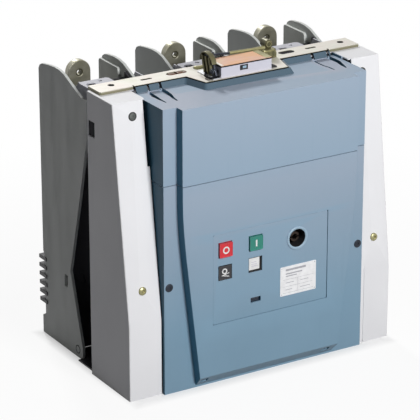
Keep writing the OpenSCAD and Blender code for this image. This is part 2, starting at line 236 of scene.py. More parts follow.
def between(points, at):   # a height on the line that joins the points
    for (a0, b0), (a1, b1) in zip(points, points[1:]):
        if at <= a1:
            return b0 + (b1 - b0) * (at - a0) / (a1 - a0)


def span(side, near, far, middle):   # two distances on one side of the middle, in rising order
    return sorted((side * near + middle, side * far + middle))


finishes = {}


def dress(piece, finish, body="housing", nodes=()):
    piece.data.materials.clear()
    piece.data.materials.append(finishes[finish])
    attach(piece, body)
    if nodes:
        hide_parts(*nodes)
    return piece


# ---- materials ----
class Sheet:   # one material's node sheet
    def __init__(self, name):
        self.material = bpy.data.materials.new(name)
        self.material.use_nodes = True
        self.tree = self.material.node_tree
        self.shader = self.tree.nodes["Principled BSDF"]
        self.place = self.add("ShaderNodeTexCoord").outputs["Object"]
        finishes[name] = self.material

    def add(self, kind, links=None, **values):
        node = self.tree.nodes.new(kind)
        node.location = (-200 * (len(self.tree.nodes) % 6) - 300, -260 * (len(self.tree.nodes) // 6))
        for key, value in values.items():
            if key in node.inputs:
                node.inputs[key].default_value = value
            elif hasattr(node, key):
                setattr(node, key, value)
            else:
                node.inputs[key.replace("_", " ")].default_value = value
        for key, source in (links or {}).items():
            self.tree.links.new(source, node.inputs[key])
        return node

    def noise(self, scale, detail=4, rough=0.55, stretch=(1, 1, 1)):
        place = self.add("ShaderNodeMapping", {"Vector": self.place}, Scale=stretch).outputs[0]
        return self.add("ShaderNodeTexNoise", {"Vector": place}, Scale=scale, Detail=detail,
                        Roughness=rough).outputs["Fac"]

    def ramp(self, source, stops):
        node = self.add("ShaderNodeValToRGB", {"Fac": source})
        band = node.color_ramp
        band.elements[0].position, band.elements[-1].position = stops[0][0], stops[-1][0]
        for at, colour in stops[1:-1]:
            band.elements.new(at)
        for element, (at, colour) in zip(band.elements, stops):
            element.color = (*colour, 1) if len(colour) == 3 else colour
        return node.outputs["Color"]

    def level(self, source, low, high, start=0.3, stop=0.7):
        return self.add("ShaderNodeMapRange", {"Value": source}, From_Min=start, From_Max=stop, To_Min=low,
                        To_Max=high).outputs[0]

    def blend(self, amount, a, b, how="MIX"):
        node = self.add("ShaderNodeMix", data_type="RGBA", blend_type=how)
        for index, value in ((0, amount), (6, a), (7, b)):
            if isinstance(value, (int, float)):
                node.inputs[index].default_value = value
            elif isinstance(value, tuple):
                node.inputs[index].default_value = (*value, 1)
            else:
                self.tree.links.new(value, node.inputs[index])
        return node.outputs[2]

    def math(self, how, a, b=0.0):
        node = self.add("ShaderNodeMath", operation=how)
        for index, value in ((0, a), (1, b)):
            if isinstance(value, (int, float)):
                node.inputs[index].default_value = value
            else:
                self.tree.links.new(value, node.inputs[index])
        return node.outputs[0]

    def bump(self, source, strength, height, base=None):
        links = {"Height": source}
        if base:
            links["Normal"] = base
        return self.add("ShaderNodeBump", links, Strength=strength, Distance=height).outputs[0]

    def edges(self, start=0.52, stop=0.60):   # bright along worn outer edges
        point = self.add("ShaderNodeNewGeometry").outputs["Pointiness"]
        return self.level(point, 0, 1, start, stop)

    def wire(self, **sources):
        for key, source in sources.items():
            self.tree.links.new(source, self.shader.inputs[key.replace("_", " ")])

    def fixed(self, **values):
        for key, value in values.items():
            self.shader.inputs[key.replace("_", " ")].default_value = value


def tint(colour, factor):
    return tuple(min(1, c * factor) for c in colour)


def painted(name, colour, rough=0.42, peel=0.12):   # powder coat: soft orange peel, faint dust
    s = Sheet(name)
    cloud = s.noise(7, 3)
    smear = s.noise(18, 5, 0.6, (1, 1, 0.25))
    base = s.ramp(cloud, [(0.35, tint(colour, 0.965)), (0.65, colour)])
    base = s.blend(s.level(smear, 0, 0.35, 0.55, 0.8), base, tint(colour, 0.93))
    base = s.blend(s.math("MULTIPLY", s.edges(), 0.35), base, tint(colour, 1.08))
    peelNoise = s.noise(420, 2, 0.5)
    fine = s.noise(1700, 2, 0.5)
    s.wire(Base_Color=base, Roughness=s.level(smear, rough - 0.05, rough + 0.08),
           Normal=s.bump(fine, 0.10, 0.0002, s.bump(peelNoise, peel, 0.0006)))
    s.fixed(Specular_IOR_Level=0.3)


# eroded mould texture with scuffs
def moulded(name, colour, rough=0.46, grain=0.22, worn=1.12, paintedTopSheen=None, side=None):
    s = Sheet(name)
    cloud = s.noise(5, 3)
    scuff = s.noise(60, 6, 0.65, (1, 1, 0.12))
    fine = s.noise(1500, 3, 0.6)
    base = s.ramp(cloud, [(0.3, tint(colour, 0.95)), (0.7, tint(colour, 1.03))])
    if paintedTopSheen:   # painted sheen: paler and greyer towards the top
        height = s.add("ShaderNodeSeparateXYZ", {"Vector": s.place}).outputs["Z"]
        base = s.blend(s.level(height, 0, 1, 0.12, 0.58), base, paintedTopSheen)
    base = s.blend(s.level(fine, 0, 0.22, 0.45, 0.75), base, tint(colour, 1.14))
    base = s.blend(s.level(scuff, 0, 0.18, 0.58, 0.8), base, tint(colour, 0.88))
    base = s.blend(s.math("MULTIPLY", s.edges(), 0.4), base, tint(colour, worn))
    if side:   # painted shade: groove walls and the outer flanks, which face sideways, get a deeper, darker blue
        normal = s.add("ShaderNodeNewGeometry").outputs["True Normal"]
        shadedSideMask = s.math("ABSOLUTE", s.add("ShaderNodeSeparateXYZ", {"Vector": normal}).outputs["X"])
        far = s.level(s.math("ABSOLUTE", s.add("ShaderNodeSeparateXYZ", {"Vector": s.place}).outputs["X"]),
                      0, 1, 0.203, 0.212)
        base = s.blend(s.level(shadedSideMask, 0, 1, 0.35, 0.75), base, s.blend(far, side[0], side[1]))
    s.wire(Base_Color=base, Roughness=s.level(scuff, rough, rough + 0.12),
           Normal=s.bump(fine, grain, 0.0003))
    s.fixed(Specular_IOR_Level=0.3)


# passivated zinc: clouds of tint, fine brushing
def plated(name, stops, rough=0.34, metal=0.9, side=None):
    s = Sheet(name)
    cloud = s.noise(16, 4, 0.6)
    brush = s.noise(260, 4, 0.6, (0.06, 1, 1))
    spot = s.noise(900, 2, 0.5)
    base = s.ramp(cloud, stops)
    base = s.blend(s.level(brush, 0, 0.25), base, tint(stops[0][1], 0.8))
    if side:   # painted shade: faces that turn away from the top get a dark olive in place of the film's lit colour
        up = s.add("ShaderNodeSeparateXYZ",
                   {"Vector": s.add("ShaderNodeNewGeometry").outputs["True Normal"]}).outputs["Z"]
        base = s.blend(s.level(up, 1, 0, -0.2, 0.85), base, side)
    s.wire(Base_Color=base, Roughness=s.level(brush, rough - 0.06, rough + 0.12),
           Normal=s.bump(spot, 0.08, 0.0002, s.bump(brush, 0.12, 0.0002)))
    s.fixed(Metallic=metal)


def resin(name, colour, rough=0.38, speck=1.6, shine=0.3):   # cast or pressed moulding with a fine speckle
    s = Sheet(name)
    cloud = s.noise(9, 4)
    speckle = s.noise(1100, 2, 0.4)
    flow = s.noise(45, 5, 0.6, (1, 1, 0.2))
    base = s.ramp(cloud, [(0.3, tint(colour, 0.9)), (0.7, tint(colour, 1.05))])
    base = s.blend(s.level(speckle, 0, 0.35, 0.55, 0.8), base, tint(colour, speck))
    base = s.blend(s.math("MULTIPLY", s.edges(0.51, 0.57), 0.5), base, tint(colour, speck * 1.15))
    s.wire(Base_Color=base, Roughness=s.level(flow, rough - 0.05, rough + 0.12),
           Normal=s.bump(speckle, 0.12, 0.0002, s.bump(flow, 0.08, 0.0005)))
    s.fixed(Specular_IOR_Level=shine)


def glazed(name, colour):   # fired glaze, almost smooth
    s = Sheet(name)
    cloud = s.noise(30, 3)
    ripple = s.noise(140, 2)
    s.wire(Base_Color=s.ramp(cloud, [(0.3, tint(colour, 0.94)), (0.7, colour)]),
           Roughness=s.level(ripple, 0.12, 0.22), Normal=s.bump(ripple, 0.05, 0.0005))
    s.fixed(Coat_Weight=0.6, Coat_Roughness=0.06)


def glossy(name, colour, rough=0.25):   # smooth push-button plastic with fine scratches
    s = Sheet(name)
    cloud = s.noise(90, 3)
    scratch = s.noise(500, 5, 0.7, (1, 1, 0.05))
    s.wire(Base_Color=s.ramp(cloud, [(0.3, tint(colour, 0.9)), (0.7, tint(colour, 1.06))]),
           Roughness=s.level(scratch, rough - 0.04, rough + 0.14), Normal=s.bump(scratch, 0.05, 0.0002))
    s.fixed(Coat_Weight=0.25, Coat_Roughness=0.15)


painted("white_paint", (0.86, 0.86, 0.88))
painted("grey_sheet", (0.55, 0.55, 0.60))
plated("zinc_sheet", [(0.3, (0.50, 0.51, 0.53)), (0.5, (0.62, 0.63, 0.66)), (0.7, (0.70, 0.71, 0.72))],
       0.42)
# the side colour below is painted shade on faces that turn away from the top
plated("chromated_steel", [(0.3, (0.64, 0.64, 0.53)), (0.45, (0.74, 0.72, 0.65)), (0.6, (0.74, 0.68, 0.63)),
                           (0.72, (0.68, 0.72, 0.58))], 0.5, 0.2, side=(0.10, 0.09, 0.015))
# its two side colours are painted shade on the groove walls and the outer flanks
# the cover's paler, greyer top colour is a painted sheen
moulded("cover_blue", (0.215, 0.345, 0.455), paintedTopSheen=(0.41, 0.445, 0.53),
        side=[(0.06, 0.19, 0.29), (0.02, 0.078, 0.125)])
# the upstand's teal is darkened well below the cover's blue as painted shade
moulded("rim_teal", (0.07, 0.115, 0.155))
glossy("button_red", (0.66, 0.012, 0.025))
glossy("button_green", (0.010, 0.22, 0.165))
glossy("indicator_black", (0.012, 0.012, 0.016))
glossy("indicator_white", (0.84, 0.84, 0.83))
glossy("window_dark", (0.006, 0.016, 0.035), 0.12)
moulded("bezel_plastic", (0.34, 0.47, 0.58), 0.35, 0.1)
plated("socket_steel", [(0.3, (0.030, 0.022, 0.018)), (0.7, (0.075, 0.055, 0.045))], 0.36)
glossy("label_white", (0.93, 0.93, 0.94), 0.3)
plated("screw_dark", [(0.3, (0.025, 0.03, 0.04)), (0.7, (0.06, 0.065, 0.08))], 0.35)
plated("bolt_zinc", [(0.3, (0.20, 0.19, 0.08)), (0.5, (0.34, 0.32, 0.18)), (0.7, (0.44, 0.40, 0.22))], 0.32)
moulded("plug_box_grey", (0.62, 0.61, 0.68), 0.4, 0.1)
plated("olive_steel", [(0.3, (0.16, 0.15, 0.06)), (0.5, (0.30, 0.28, 0.14)), (0.7, (0.42, 0.38, 0.22))],
       0.4, 0.7)
moulded("black_plastic", (0.022, 0.022, 0.024), 0.4, 0.15, 2.0)
resin("rod_brown", (0.10, 0.045, 0.022))
resin("shell_grey", (0.56, 0.58, 0.56), 0.45, 1.2)
plated("olive_dark", [(0.3, (0.022, 0.020, 0.010)), (0.5, (0.07, 0.065, 0.03)), (0.7, (0.16, 0.145, 0.07))],
       0.42, 0.5)
resin("seal_black", (0.006, 0.006, 0.008), 0.7, 1.2, 0.08)
plated("bolt_grey", [(0.3, (0.07, 0.08, 0.08)), (0.7, (0.13, 0.14, 0.13))], 0.5, 0.4)
resin("black_resin", (0.016, 0.016, 0.018), 0.32, 2.4)
glazed("ceramic_white", (0.80, 0.77, 0.70))
plated("terminal_metal", [(0.3, (0.20, 0.19, 0.13)), (0.5, (0.33, 0.32, 0.25)), (0.7, (0.45, 0.44, 0.38))],
       0.42, 0.75)
plated("copper_sheet", [(0.25, (0.66, 0.42, 0.24)), (0.45, (0.68, 0.39, 0.22)), (0.6, (0.64, 0.39, 0.29)),
                        (0.8, (0.68, 0.56, 0.38))], 0.55, 0.2)
print("materials made")


# ---- side panels: one folded sheet each ----
panelSet = {"sheet": 2.5, "leanStart": 150, "leanBack": 53, "fold": 2.2, "notchWidth": 5,
            "notchHeight": 440, "foot": 26, "boltHoles": [(40, 537), (33, 213)], "boltHole": 5.4,
            "height": 565, "front": -173, "halfWidth": 290, "clip": (-54, -31, 481, 511),
            "barHole": (-245, 258), "barHoleRadius": 7.5}


def leanBy(z):   # how far the panel's front has leaned back at this height
    start = panelSet["leanStart"]
    return max(0, z - start) * panelSet["leanBack"] / (panelSet["height"] - start)


def sidePanel(node, side):
    low, high = cadSize(node)
    outer, inner = (low[0], high[0]) if side < 0 else (high[0], low[0])
    front, top = low[1], high[2]
    leanStart, leanBack, foot = panelSet["leanStart"], panelSet["leanBack"], panelSet["foot"]
    topFront = front + leanBack
    panel = block(node + "Sheet", low, high)
    edit(panel)
    bpy.ops.mesh.select_all(action="SELECT")
    bpy.ops.mesh.bisect(plane_co=(0, 0, leanStart * mm), plane_no=(0, 0, 1))
    pick("VERT", lambda p: p.z > top - 1 and p.y < front + 1)
    shift(y=leanBack)
    pick("FACE", lambda c, n: n.z < -0.9)
    bpy.ops.mesh.bisect(plane_co=((outer - side * foot) * mm, 0, 0), plane_no=(1, 0, 0))
    pick("FACE", lambda c, n: n.x * side < -0.9 or n.y > 0.9 or n.z < -0.9 and abs(c.x) < abs(outer) - foot)
    bpy.ops.mesh.delete(type="FACE")

    def folded(a, b):
        atSide = abs(a.x - outer) < 1 and abs(b.x - outer) < 1
        atFold = abs(a.y - topFront) < 1 and abs(b.y - topFront) < 1
        atFront = a.y < topFront + 1 and b.y < topFront + 1 and atSide and abs(a.z - b.z) > 5
        return atFront or a.z > top - 1 and b.z > top - 1 and (atFold or atSide)

    pick("EDGE", folded)
    bpy.ops.mesh.bevel(offset=panelSet["fold"] * mm, segments=5, affect="EDGES", clamp_overlap=True)
    leave()
    thicken(panel, panelSet["sheet"])
    edge = inner + side * panelSet["notchWidth"]
    cut(panel, block("notchTool", (min(inner - side, edge), front - 5, panelSet["notchHeight"]),
                     (max(inner - side, edge), topFront + 4, top + 2)))
    slope = math.atan(leanBack / (top - leanStart))
    along = Vector((0, math.cos(slope), -math.sin(slope)))
    for inset, z in panelSet["boltHoles"]:
        place = Vector((outer - side * inset, front + leanBack * (z - leanStart) / (top - leanStart), z))
        cut(panel, rod("holeTool", place - along * 6, place + along * 8, panelSet["boltHole"]))
    barX = panelSet["barHole"][side > 0]
    cut(panel, rod("flangeTool", (barX, -37, top - 6), (barX, -37, top + 1), panelSet["barHoleRadius"]))
    if side < 0:   # cut-out in the rear edge for a clip
        y0, y1, z0, z1 = panelSet["clip"]
        cut(panel, block("clipTool", (outer - 2, y0, z0), (outer + 8, y1, z1)))
        clip = block("leftPanelClip", (outer + 1.2, y0 + 0.5, z0 + 0.5), (outer + 9, y1 + 3, z1 - 0.5))
        soften(clip, 1.5)
        dress(clip, "seal_black")
    else:   # joint line of the inner lip
        cut(panel, block("jointTool", (inner + 8, front - 1, -1),
                         (inner + 9.6, front + 1.6, leanStart + 30)))
        seal = block("rightGapSeal", (inner - 2.3, topFront + 22, top - 12), (inner + 0.2, -66, top + 0.05))
        soften(seal, 0.4, 2)
        dress(seal, "cover_blue")
    soften(panel, 0.5, 2, 40)
    dress(panel, "white_paint", nodes=[node])


sidePanel("left_side_panel", -1)
sidePanel("right_side_panel", 1)
print("side panels folded")


# ---- moulded cover: a raised middle between two side bands ----
coverSet = {"wall": 3, "bandY": -180, "faceY": -200, "leanFoot": -173.3, "rimY": -69, "edge": 1.0,
            "footBevel": 25, "panelGap": 0.6, "notches": (-141, 131), "screws": (-209, 209),
            "screwHeight": 214, "rows": [0, 4, 25, 90, 150, 210, 270, 285, 300, 315, 330, 345, 360, 375,
                                         390, 412]}
raisedHalf = [(0, 152), (270, 183.5), (300, 186.5), (330, 189), (360, 190.5), (390, 191), (600, 191)]


def raisedAt(z):
    return between(raisedHalf, z)


def leanAt(z):
    return coverSet["leanFoot"] + leanBy(z)


def coverLower():
    half, band, face = cadSize("cover_lower")[1][0], coverSet["bandY"], coverSet["faceY"]
    rows, x0 = coverSet["rows"], raisedAt(0)
    right = [(x0 - 0.01, band, 0), (x0, band, 0), (half, band, 0), (half, leanAt(0), 0)]
    cover = trace("coverLowerShell", [(-x, y, z) for x, y, z in reversed(right)] + right, filled=False)
    allEdges()
    for z0, z1 in zip(rows, rows[1:]):
        pull(z=z1 - z0)
        bm = bmesh.from_edit_mesh(cover.data)   # the new row of points, left to right
        row = sorted([v for v in bm.verts if v.select],
                     key=lambda v: (round(v.co.x, 6), -v.co.y if v.co.x < 0 else v.co.y))
        for v in row:
            if abs(v.co.x / mm) > half - 1 and v.co.y / mm > band + 1:
                v.co.y = leanAt(z1) * mm
        x = raisedAt(z1)
        if z1 >= coverSet["footBevel"]:
            line = [(-x, band), (-x, face), (x, face), (x, band)]
        else:
            line = [(-x, band), (-x + 0.01, band), (x - 0.01, band), (x, band)]
        inner = sorted([v for v in row if abs(v.co.x / mm) < half - 1], key=lambda v: v.co.x)
        for v, (px, py) in zip(inner, line):
            v.co.x, v.co.y = px * mm, py * mm
        bmesh.update_edit_mesh(cover.data)
    recalc()
    finishCover(cover)
    low, high = cadSize("control_panel")
    gap, height = coverSet["panelGap"], coverSet["screwHeight"]
    cut(cover, block("panelTool", (low[0] - gap, -205, low[2] - gap), (high[0] + gap, -190, high[2] + gap)))
    for x in coverSet["notches"]:
        cut(cover, block("footTool", (x - 8, -202, 12), (x + 8, -186, 20)))
    for x in coverSet["screws"]:
        cut(cover, rod("screwTool", (x, -184, height), (x, -174, height), 3))
    soften(cover, 0.6, 2, 50)
    dress(cover, "cover_blue", nodes=["cover_lower"])


def finishCover(cover):
    modify(cover, "BEVEL", width=coverSet["edge"] * mm, segments=4, limit_method="ANGLE",
           angle_limit=math.radians(20))
    thicken(cover, coverSet["wall"])


coverLower()
print("lower cover moulded")


tongueSet = {"drop": 3.5, "sunk": [[(-187, -70), (-186, -92), (-189, -112), (-191, -130), (-192.5, -150),
                                    (-169.5, -150), (-168, -130), (-163, -112), (-162, -92), (-161, -70)],
                                    [(172, -70), (170, -92), (170, -112), (172, -130), (171.5, -150),
                                     (198, -150), (202, -130), (207, -112), (208, -92), (206.5, -70)]],
                                     "slits": [[(-190, -72), (-183, -72), (-185, -92), (-187, -108),
                                                (-190, -126), (-191.5, -146), (-194, -146), (-197, -122),
                                                (-198, -104), (-195, -86)],
                                                [(-165, -72), (-157.5, -72), (-158, -92), (-160.5, -112),
                                                 (-166, -130), (-168.5, -146), (-171, -146), (-170, -130),
                                                 (-166.5, -112), (-165.5, -92)],
                                                 [(176, -72), (168, -72), (166, -92), (166.5, -112),
                                                  (169.5, -130), (170.5, -146), (173, -146), (175, -130),
                                                  (173.5, -112), (174, -92)],
                                                  [(203, -72), (210, -72), (211, -92), (210.5, -108),
                                                   (205, -126), (199.5, -146), (197, -146), (199, -126),
                                                   (203.5, -108), (204.5, -92)]]}


def coverUpper():
    low, high = cadSize("cover_upper")
    half, foot, top = high[0], low[2], high[2]
    band, face, rear = coverSet["bandY"], coverSet["faceY"], coverSet["rimY"]
    x = raisedAt(500)
    right = [(x, face, foot), (x, band, foot), (half, band, foot), (half, rear, foot)]
    cover = plate("coverUpperShell", [(-px, y, z) for px, y, z in reversed(right)] + right,
                  (0, 0, top - foot))
    for outline in tongueSet["sunk"]:   # each tongue sinks a little towards the rim
        tool = plate("tongueTool", [(px, py, top + 2) for px, py in outline], (0, 0, -2.1))
        edit(tool)
        for py in sorted({p[1] for p in outline}):
            pick("VERT", lambda p: p.z < top + 1 and abs(p.y - py) < 0.5)
            shift(z=-tongueSet["drop"] * (py + 150) / 80)
        leave()
        cut(cover, tool)
    for outline in tongueSet["slits"]:
        cut(cover, plate("slitTool", [(px, py, top - 7) for px, py in outline], (0, 0, 9)))
    cut(cover, block("shelfTool", (-92, -118, top - 40), (92, -60, top + 3)))
    edit(cover)

    def opened(c, n):   # foot, back, under the shelf and the floors of the slits
        return (n.z < -0.9 and c.z < foot + 1 or n.y > 0.9 and c.y > rear - 1 or abs(c.x) < 93
                and c.y > -119 and c.z < top - 20 or n.z > 0.9 and top - 8 < c.z < top - 6)

    pick("FACE", opened)
    bpy.ops.mesh.delete(type="FACE")
    leave()
    finishCover(cover)
    soften(cover, 0.5, 2, 55)
    dress(cover, "cover_blue", nodes=["cover_upper"])


coverUpper()
print("upper cover moulded")


# ---- turned and seated parts ----
def lathe(name, profile, steps=48):   # profile of (radius, height) turned about the z axis
    piece = trace(name, [(r, 0, z) for r, z in profile], filled=False)
    allEdges()
    bpy.ops.mesh.spin(steps=steps, angle=math.tau, center=(0, 0, 0), axis=(0, 0, 1))
    recalc()
    return piece


def tube(name, inner, outer, low, high, steps=48):
    return lathe(name, [(inner, low), (outer, low), (outer, high), (inner, high), (inner, low)], steps)


def seat(piece, place, direction=(0, 0, 1)):   # the turned part's z axis goes along the direction
    take(piece)
    piece.rotation_mode = "XYZ"
    spin = Vector((0, 0, 1)).rotation_difference(Vector(direction)).to_matrix().to_4x4()
    piece.matrix_world = spin @ Vector((0, 0, 1)).to_track_quat("Z", "Y").to_matrix().to_4x4()
    piece.location = Vector(place) * mm
    return settle(piece.name)


def screwHead(name, place, direction, radius, height, socket, depth, sides=6):
    head = lathe(name, [(0, 0), (radius, 0), (radius, height * 0.35), (radius * 0.93, height * 0.66),
                        (radius * 0.72, height * 0.9), (radius * 0.4, height), (0, height)])
    cut(head, rod("socketTool", (0, 0, height - depth), (0, 0, height + 1), socket, sides))
    soften(head, 0.25, 2, 25)
    return seat(head, place, direction)


# ---- upstand under the crossbar ----
rimSet = {"wall": 2.2, "foot": 10.5, "crown": 4.6, "corner": 5,
          "grooves": [(-186.5, 5), (-161, 5), (172, 7), (206.5, 6)]}


def rimLine(d, z):   # d is how far outside the bar's front edge
    right = [(89 + 0.72 * d, -113 - 1.2 * d, z), (102 + 0.77 * d, -64 - d, z), (212, -64 - d, z)]
    return [(-x, y, z) for x, y, z in reversed(right)] + right


def coverRim():
    low, high = cadSize("cover_rim")
    foot, crown = rimLine(rimSet["foot"], low[2]), rimLine(rimSet["crown"], high[2])
    rim = trace("coverRimShell", foot, filled=False)
    allEdges()
    pull(z=high[2] - low[2])
    for a, b in zip(foot, crown):   # the face leans back
        pick("VERT", lambda p: p.z > high[2] - 1 and abs(p.x - a[0]) < 0.5 and abs(p.y - a[1]) < 0.5)
        shift(b[0] - a[0], b[1] - a[1])
    pick("EDGE", lambda a, b: abs(a.z - b.z) > 5 and abs(a.x) < 200)
    roundOff(rimSet["corner"], 5)
    leave()
    outside(rim, "y", -1)
    thicken(rim, rimSet["wall"])
    for x, width in rimSet["grooves"]:
        cut(rim, block("grooveTool", (x - width / 2, -76, low[2] - 1), (x + width / 2, -60, high[2] + 1)))
    soften(rim, 0.4, 2, 35)
    return dress(rim, "rim_teal", nodes=["cover_rim"])


def outside(piece, axis, sign):   # turns an open sheet so that its largest face looks along the axis
    edit(piece)
    bpy.ops.mesh.select_all(action="SELECT")
    bpy.ops.mesh.normals_make_consistent(inside=False)
    leave()
    normal = max(piece.data.polygons, key=lambda f: f.area).normal
    if normal["xyz".index(axis)] * sign < 0:
        edit(piece)
        bpy.ops.mesh.select_all(action="SELECT")
        bpy.ops.mesh.flip_normals()
        leave()


coverRim()
print("rim done")


# ---- crossbar: one punched and folded sheet with its shelf ----
barSet = {"sheet": 3, "fold": 1.6, "front": -64, "lip": 214, "corner": 1.8, "relief": 3,
          "rounds": [(-245, -37, 6.5), (258, -37, 6.5)],
          "ovals": [(-173, -40, 24, 3.5), (189, -38, 24, 3.5), (-107, -37, 42, 8), (-50, -33, 34, 8),
                    (135, -37, 34, 8)]}


def longHole(x, y, length, radius, z0, z1):
    tool = block("ovalTool", (x - length / 2, y - radius, z0), (x + length / 2, y + radius, z1))
    edit(tool)
    pick("EDGE", lambda a, b: abs(a.z - b.z) > 1)
    roundOff(radius * 0.998, 10)
    recalc()
    return tool


def crossbar():
    low, high = cadSize("crossbar")
    end, front, rear, top, shelf = high[0], barSet["front"], high[1], high[2], low[1]
    lip, corner, relief = barSet["lip"], barSet["corner"], barSet["relief"]
    right = [(89, shelf), (102, front), (lip - relief, front), (lip - relief, front + 5), (lip, front + 5),
             (lip, front), (end - corner, front), (end - corner, front + corner), (end, front + corner),
             (end, rear - corner), (end - corner, rear - corner), (end - corner, rear)]
    left = [(-x, y) for x, y in reversed(right)]
    bar = trace("crossbarSheet", [(x, y, top) for x, y in right + left])

    def folded(a, b):
        return (a.y > rear - 1 and b.y > rear - 1 or min(abs(a.x), abs(b.x)) > end - 1
                or abs(a.y - front) < 1 and abs(b.y - front) < 1 and lip - 1 < min(abs(a.x), abs(b.x))
                and abs(a.x - b.x) > 20)

    pick("EDGE", folded)
    pull(z=low[2] - top)
    pick("EDGE", lambda a, b: a.z > top - 1 and b.z > top - 1 and folded(a, b))
    roundOff(barSet["fold"], 5)
    leave()
    outside(bar, "z", 1)
    thicken(bar, barSet["sheet"])
    for x, y, radius in barSet["rounds"]:
        cut(bar, rod("roundTool", (x, y, top - 6), (x, y, top + 2), radius))
    for x, y, length, radius in barSet["ovals"]:
        cut(bar, longHole(x, y, length, radius, top - 6, top + 2))
    soften(bar, 0.4, 2, 40)
    return dress(bar, "chromated_steel", nodes=["crossbar"])


crossbar()
print("crossbar folded")


# ---- what shows through the long holes of the crossbar ----
holeSet = {"hump": ((-66, -33, 567), (-34, -33, 567), 8), "grommet": (565.5, 570.2), "ring": (566, 570.7),
           "catches": [(-117, 15, 11, 571.5), (-101, 13, 12, 572.5), (-89, 7, 9, 571)]}


def holeParts():
    hump = rod("leverHump", *holeSet["hump"], 32)   # plated end of a lever, in the second hole
    soften(hump, 2.5, 4, 40)
    dress(hump, "olive_steel")
    catches, grommetsAndShadePads = [], []
    for x, width, depth, height in holeSet["catches"]:
        part = block("catch", (x - width / 2, -37 - depth / 2, 563),
                     (x + width / 2, -37 + depth / 2, height))
        soften(part, 2.2, 3, 40)
        catches.append(part)
    dress(join("catchParts", *catches), "rod_brown")
    for x, y, length, radius in barSet["ovals"][:2] + barSet["ovals"][4:]:   # black pads fill the other holes: painted shade of the holes' depth
        pad = longHole(x, y, length - 0.4, radius - 0.2, *holeSet["grommet"])
        soften(pad, 0.3, 2)
        grommetsAndShadePads.append(pad)
    for x, y, radius in barSet["rounds"]:
        grommetsAndShadePads.append(seat(tube("grommet", radius - 0.7, radius - 0.1, *holeSet["ring"]), (x, y, 0)))
    dress(join("barGrommetsAndShadePads", *grommetsAndShadePads), "seal_black")


def barShadowLine():   # black strip between the crossbar and the upstand: a painted shadow line under the bar's front edge
    seal = trace("barShadowLineStrip", rimLine(0.3, 567.6), filled=False)
    allEdges()
    pull(z=2.9)
    leave()
    outside(seal, "y", -1)
    thicken(seal, 0.9, 1)
    soften(seal, 0.2, 2)
    dress(seal, "seal_black")


holeParts()
barShadowLine()
print("parts in the holes done")


# ---- plug box on the shelf ----
boxSet = {"edge": 0.7, "window": (-13, 4, 580, 589.5), "lidEnds": [(-54.1, -48, "chromated_steel"),
                                                                   (44, 56.1, "olive_steel")]}


def plugBox():
    low, high = cadSize("plug_box")
    body = block("plugBoxBody", low, high)
    cut(body, block("hollowTool", (low[0] + 2, low[1] + 2, low[2] + 2),
                    (high[0] - 2, high[1] - 2, high[2] + 1)))
    x0, x1, z0, z1 = boxSet["window"]
    cut(body, block("windowTool", (x0, low[1] - 1, z0), (x1, low[1] + 5, z1)))
    soften(body, boxSet["edge"], 3, 40)
    dress(body, "plug_box_grey", nodes=["plug_box"])
    frameRing = block("plugBoxWindowFrame", (x0 - 0.2, low[1] + 0.1, z0 - 0.2),
                      (x1 + 0.2, low[1] + 4.5, z1 + 0.2))
    edit(frameRing)
    pick("FACE", lambda c, n: n.y < -0.9)
    bpy.ops.mesh.inset(thickness=2.4 * mm)
    shift(y=1.6)
    leave()
    soften(frameRing, 0.4, 2)
    dress(frameRing, "black_plastic")
    lens = block("plugBoxWindowGlass", (x0 + 6.5, low[1] + 0.9, z0 + 2.6), (x1 - 2.6, low[1] + 2, z1 - 2.6))
    soften(lens, 0.3, 2)
    dress(lens, "bezel_plastic")
    lowLid, highLid = cadSize("plug_box_lid")
    gasket = block("plugBoxGasket", (lowLid[0] - 0.2, lowLid[1] - 0.2, lowLid[2] - 1.6),
                   (highLid[0] + 0.2, highLid[1] + 0.2, lowLid[2] + 0.8))
    soften(gasket, 0.2, 2)
    dress(gasket, "seal_black")
    lid = block("plugBoxLid", (lowLid[0], lowLid[1], lowLid[2] + 0.7), highLid)
    edit(lid)
    pick("FACE", lambda c, n: n.z > 0.9)
    bpy.ops.mesh.inset(thickness=2.2 * mm)
    shift(z=-0.5)
    recalc()
    soften(lid, 0.3, 3, 20)
    dress(lid, "copper_sheet", nodes=["plug_box_lid"])
    for k, (x0, x1, finish) in enumerate(boxSet["lidEnds"]):   # plain plated ends of the lid
        end = block("plugBoxLidEnd%d" % (k + 1), (x0, lowLid[1] + 0.1, highLid[2] - 2),
                    (x1, highLid[1] - 0.1, highLid[2] + 0.3))
        soften(end, 0.4, 2)
        dress(end, finish)
    wedge = plate("boxEndClip", [(57, -104, low[2]), (72, -104, low[2]), (70, -104, low[2] + 3),
                                 (57, -104, low[2] + 7)], (0, 12, 0))
    soften(wedge, 0.5, 2)
    dress(wedge, "black_plastic")


def coilSpring(name, radius, wire, turns, pitch):   # wire section screwed about the z axis
    freshStart()
    bpy.ops.mesh.primitive_circle_add(vertices=10, radius=wire * mm, location=(radius * mm, 0, 0),
                                      rotation=(math.pi / 2, 0, 0), fill_type="NGON")
    spring = settle(name)
    modify(spring, "SCREW", angle=math.tau * turns, screw_offset=pitch * turns * mm, steps=int(24 * turns),
           render_steps=int(24 * turns), axis="Z", use_merge_vertices=True)
    edit(spring)
    recalc()
    take(spring)
    bpy.ops.object.shade_smooth()
    return spring


leverSet = {"holes": (-99, -79), "ribs": (-98, -86, -74), "lean": 9}


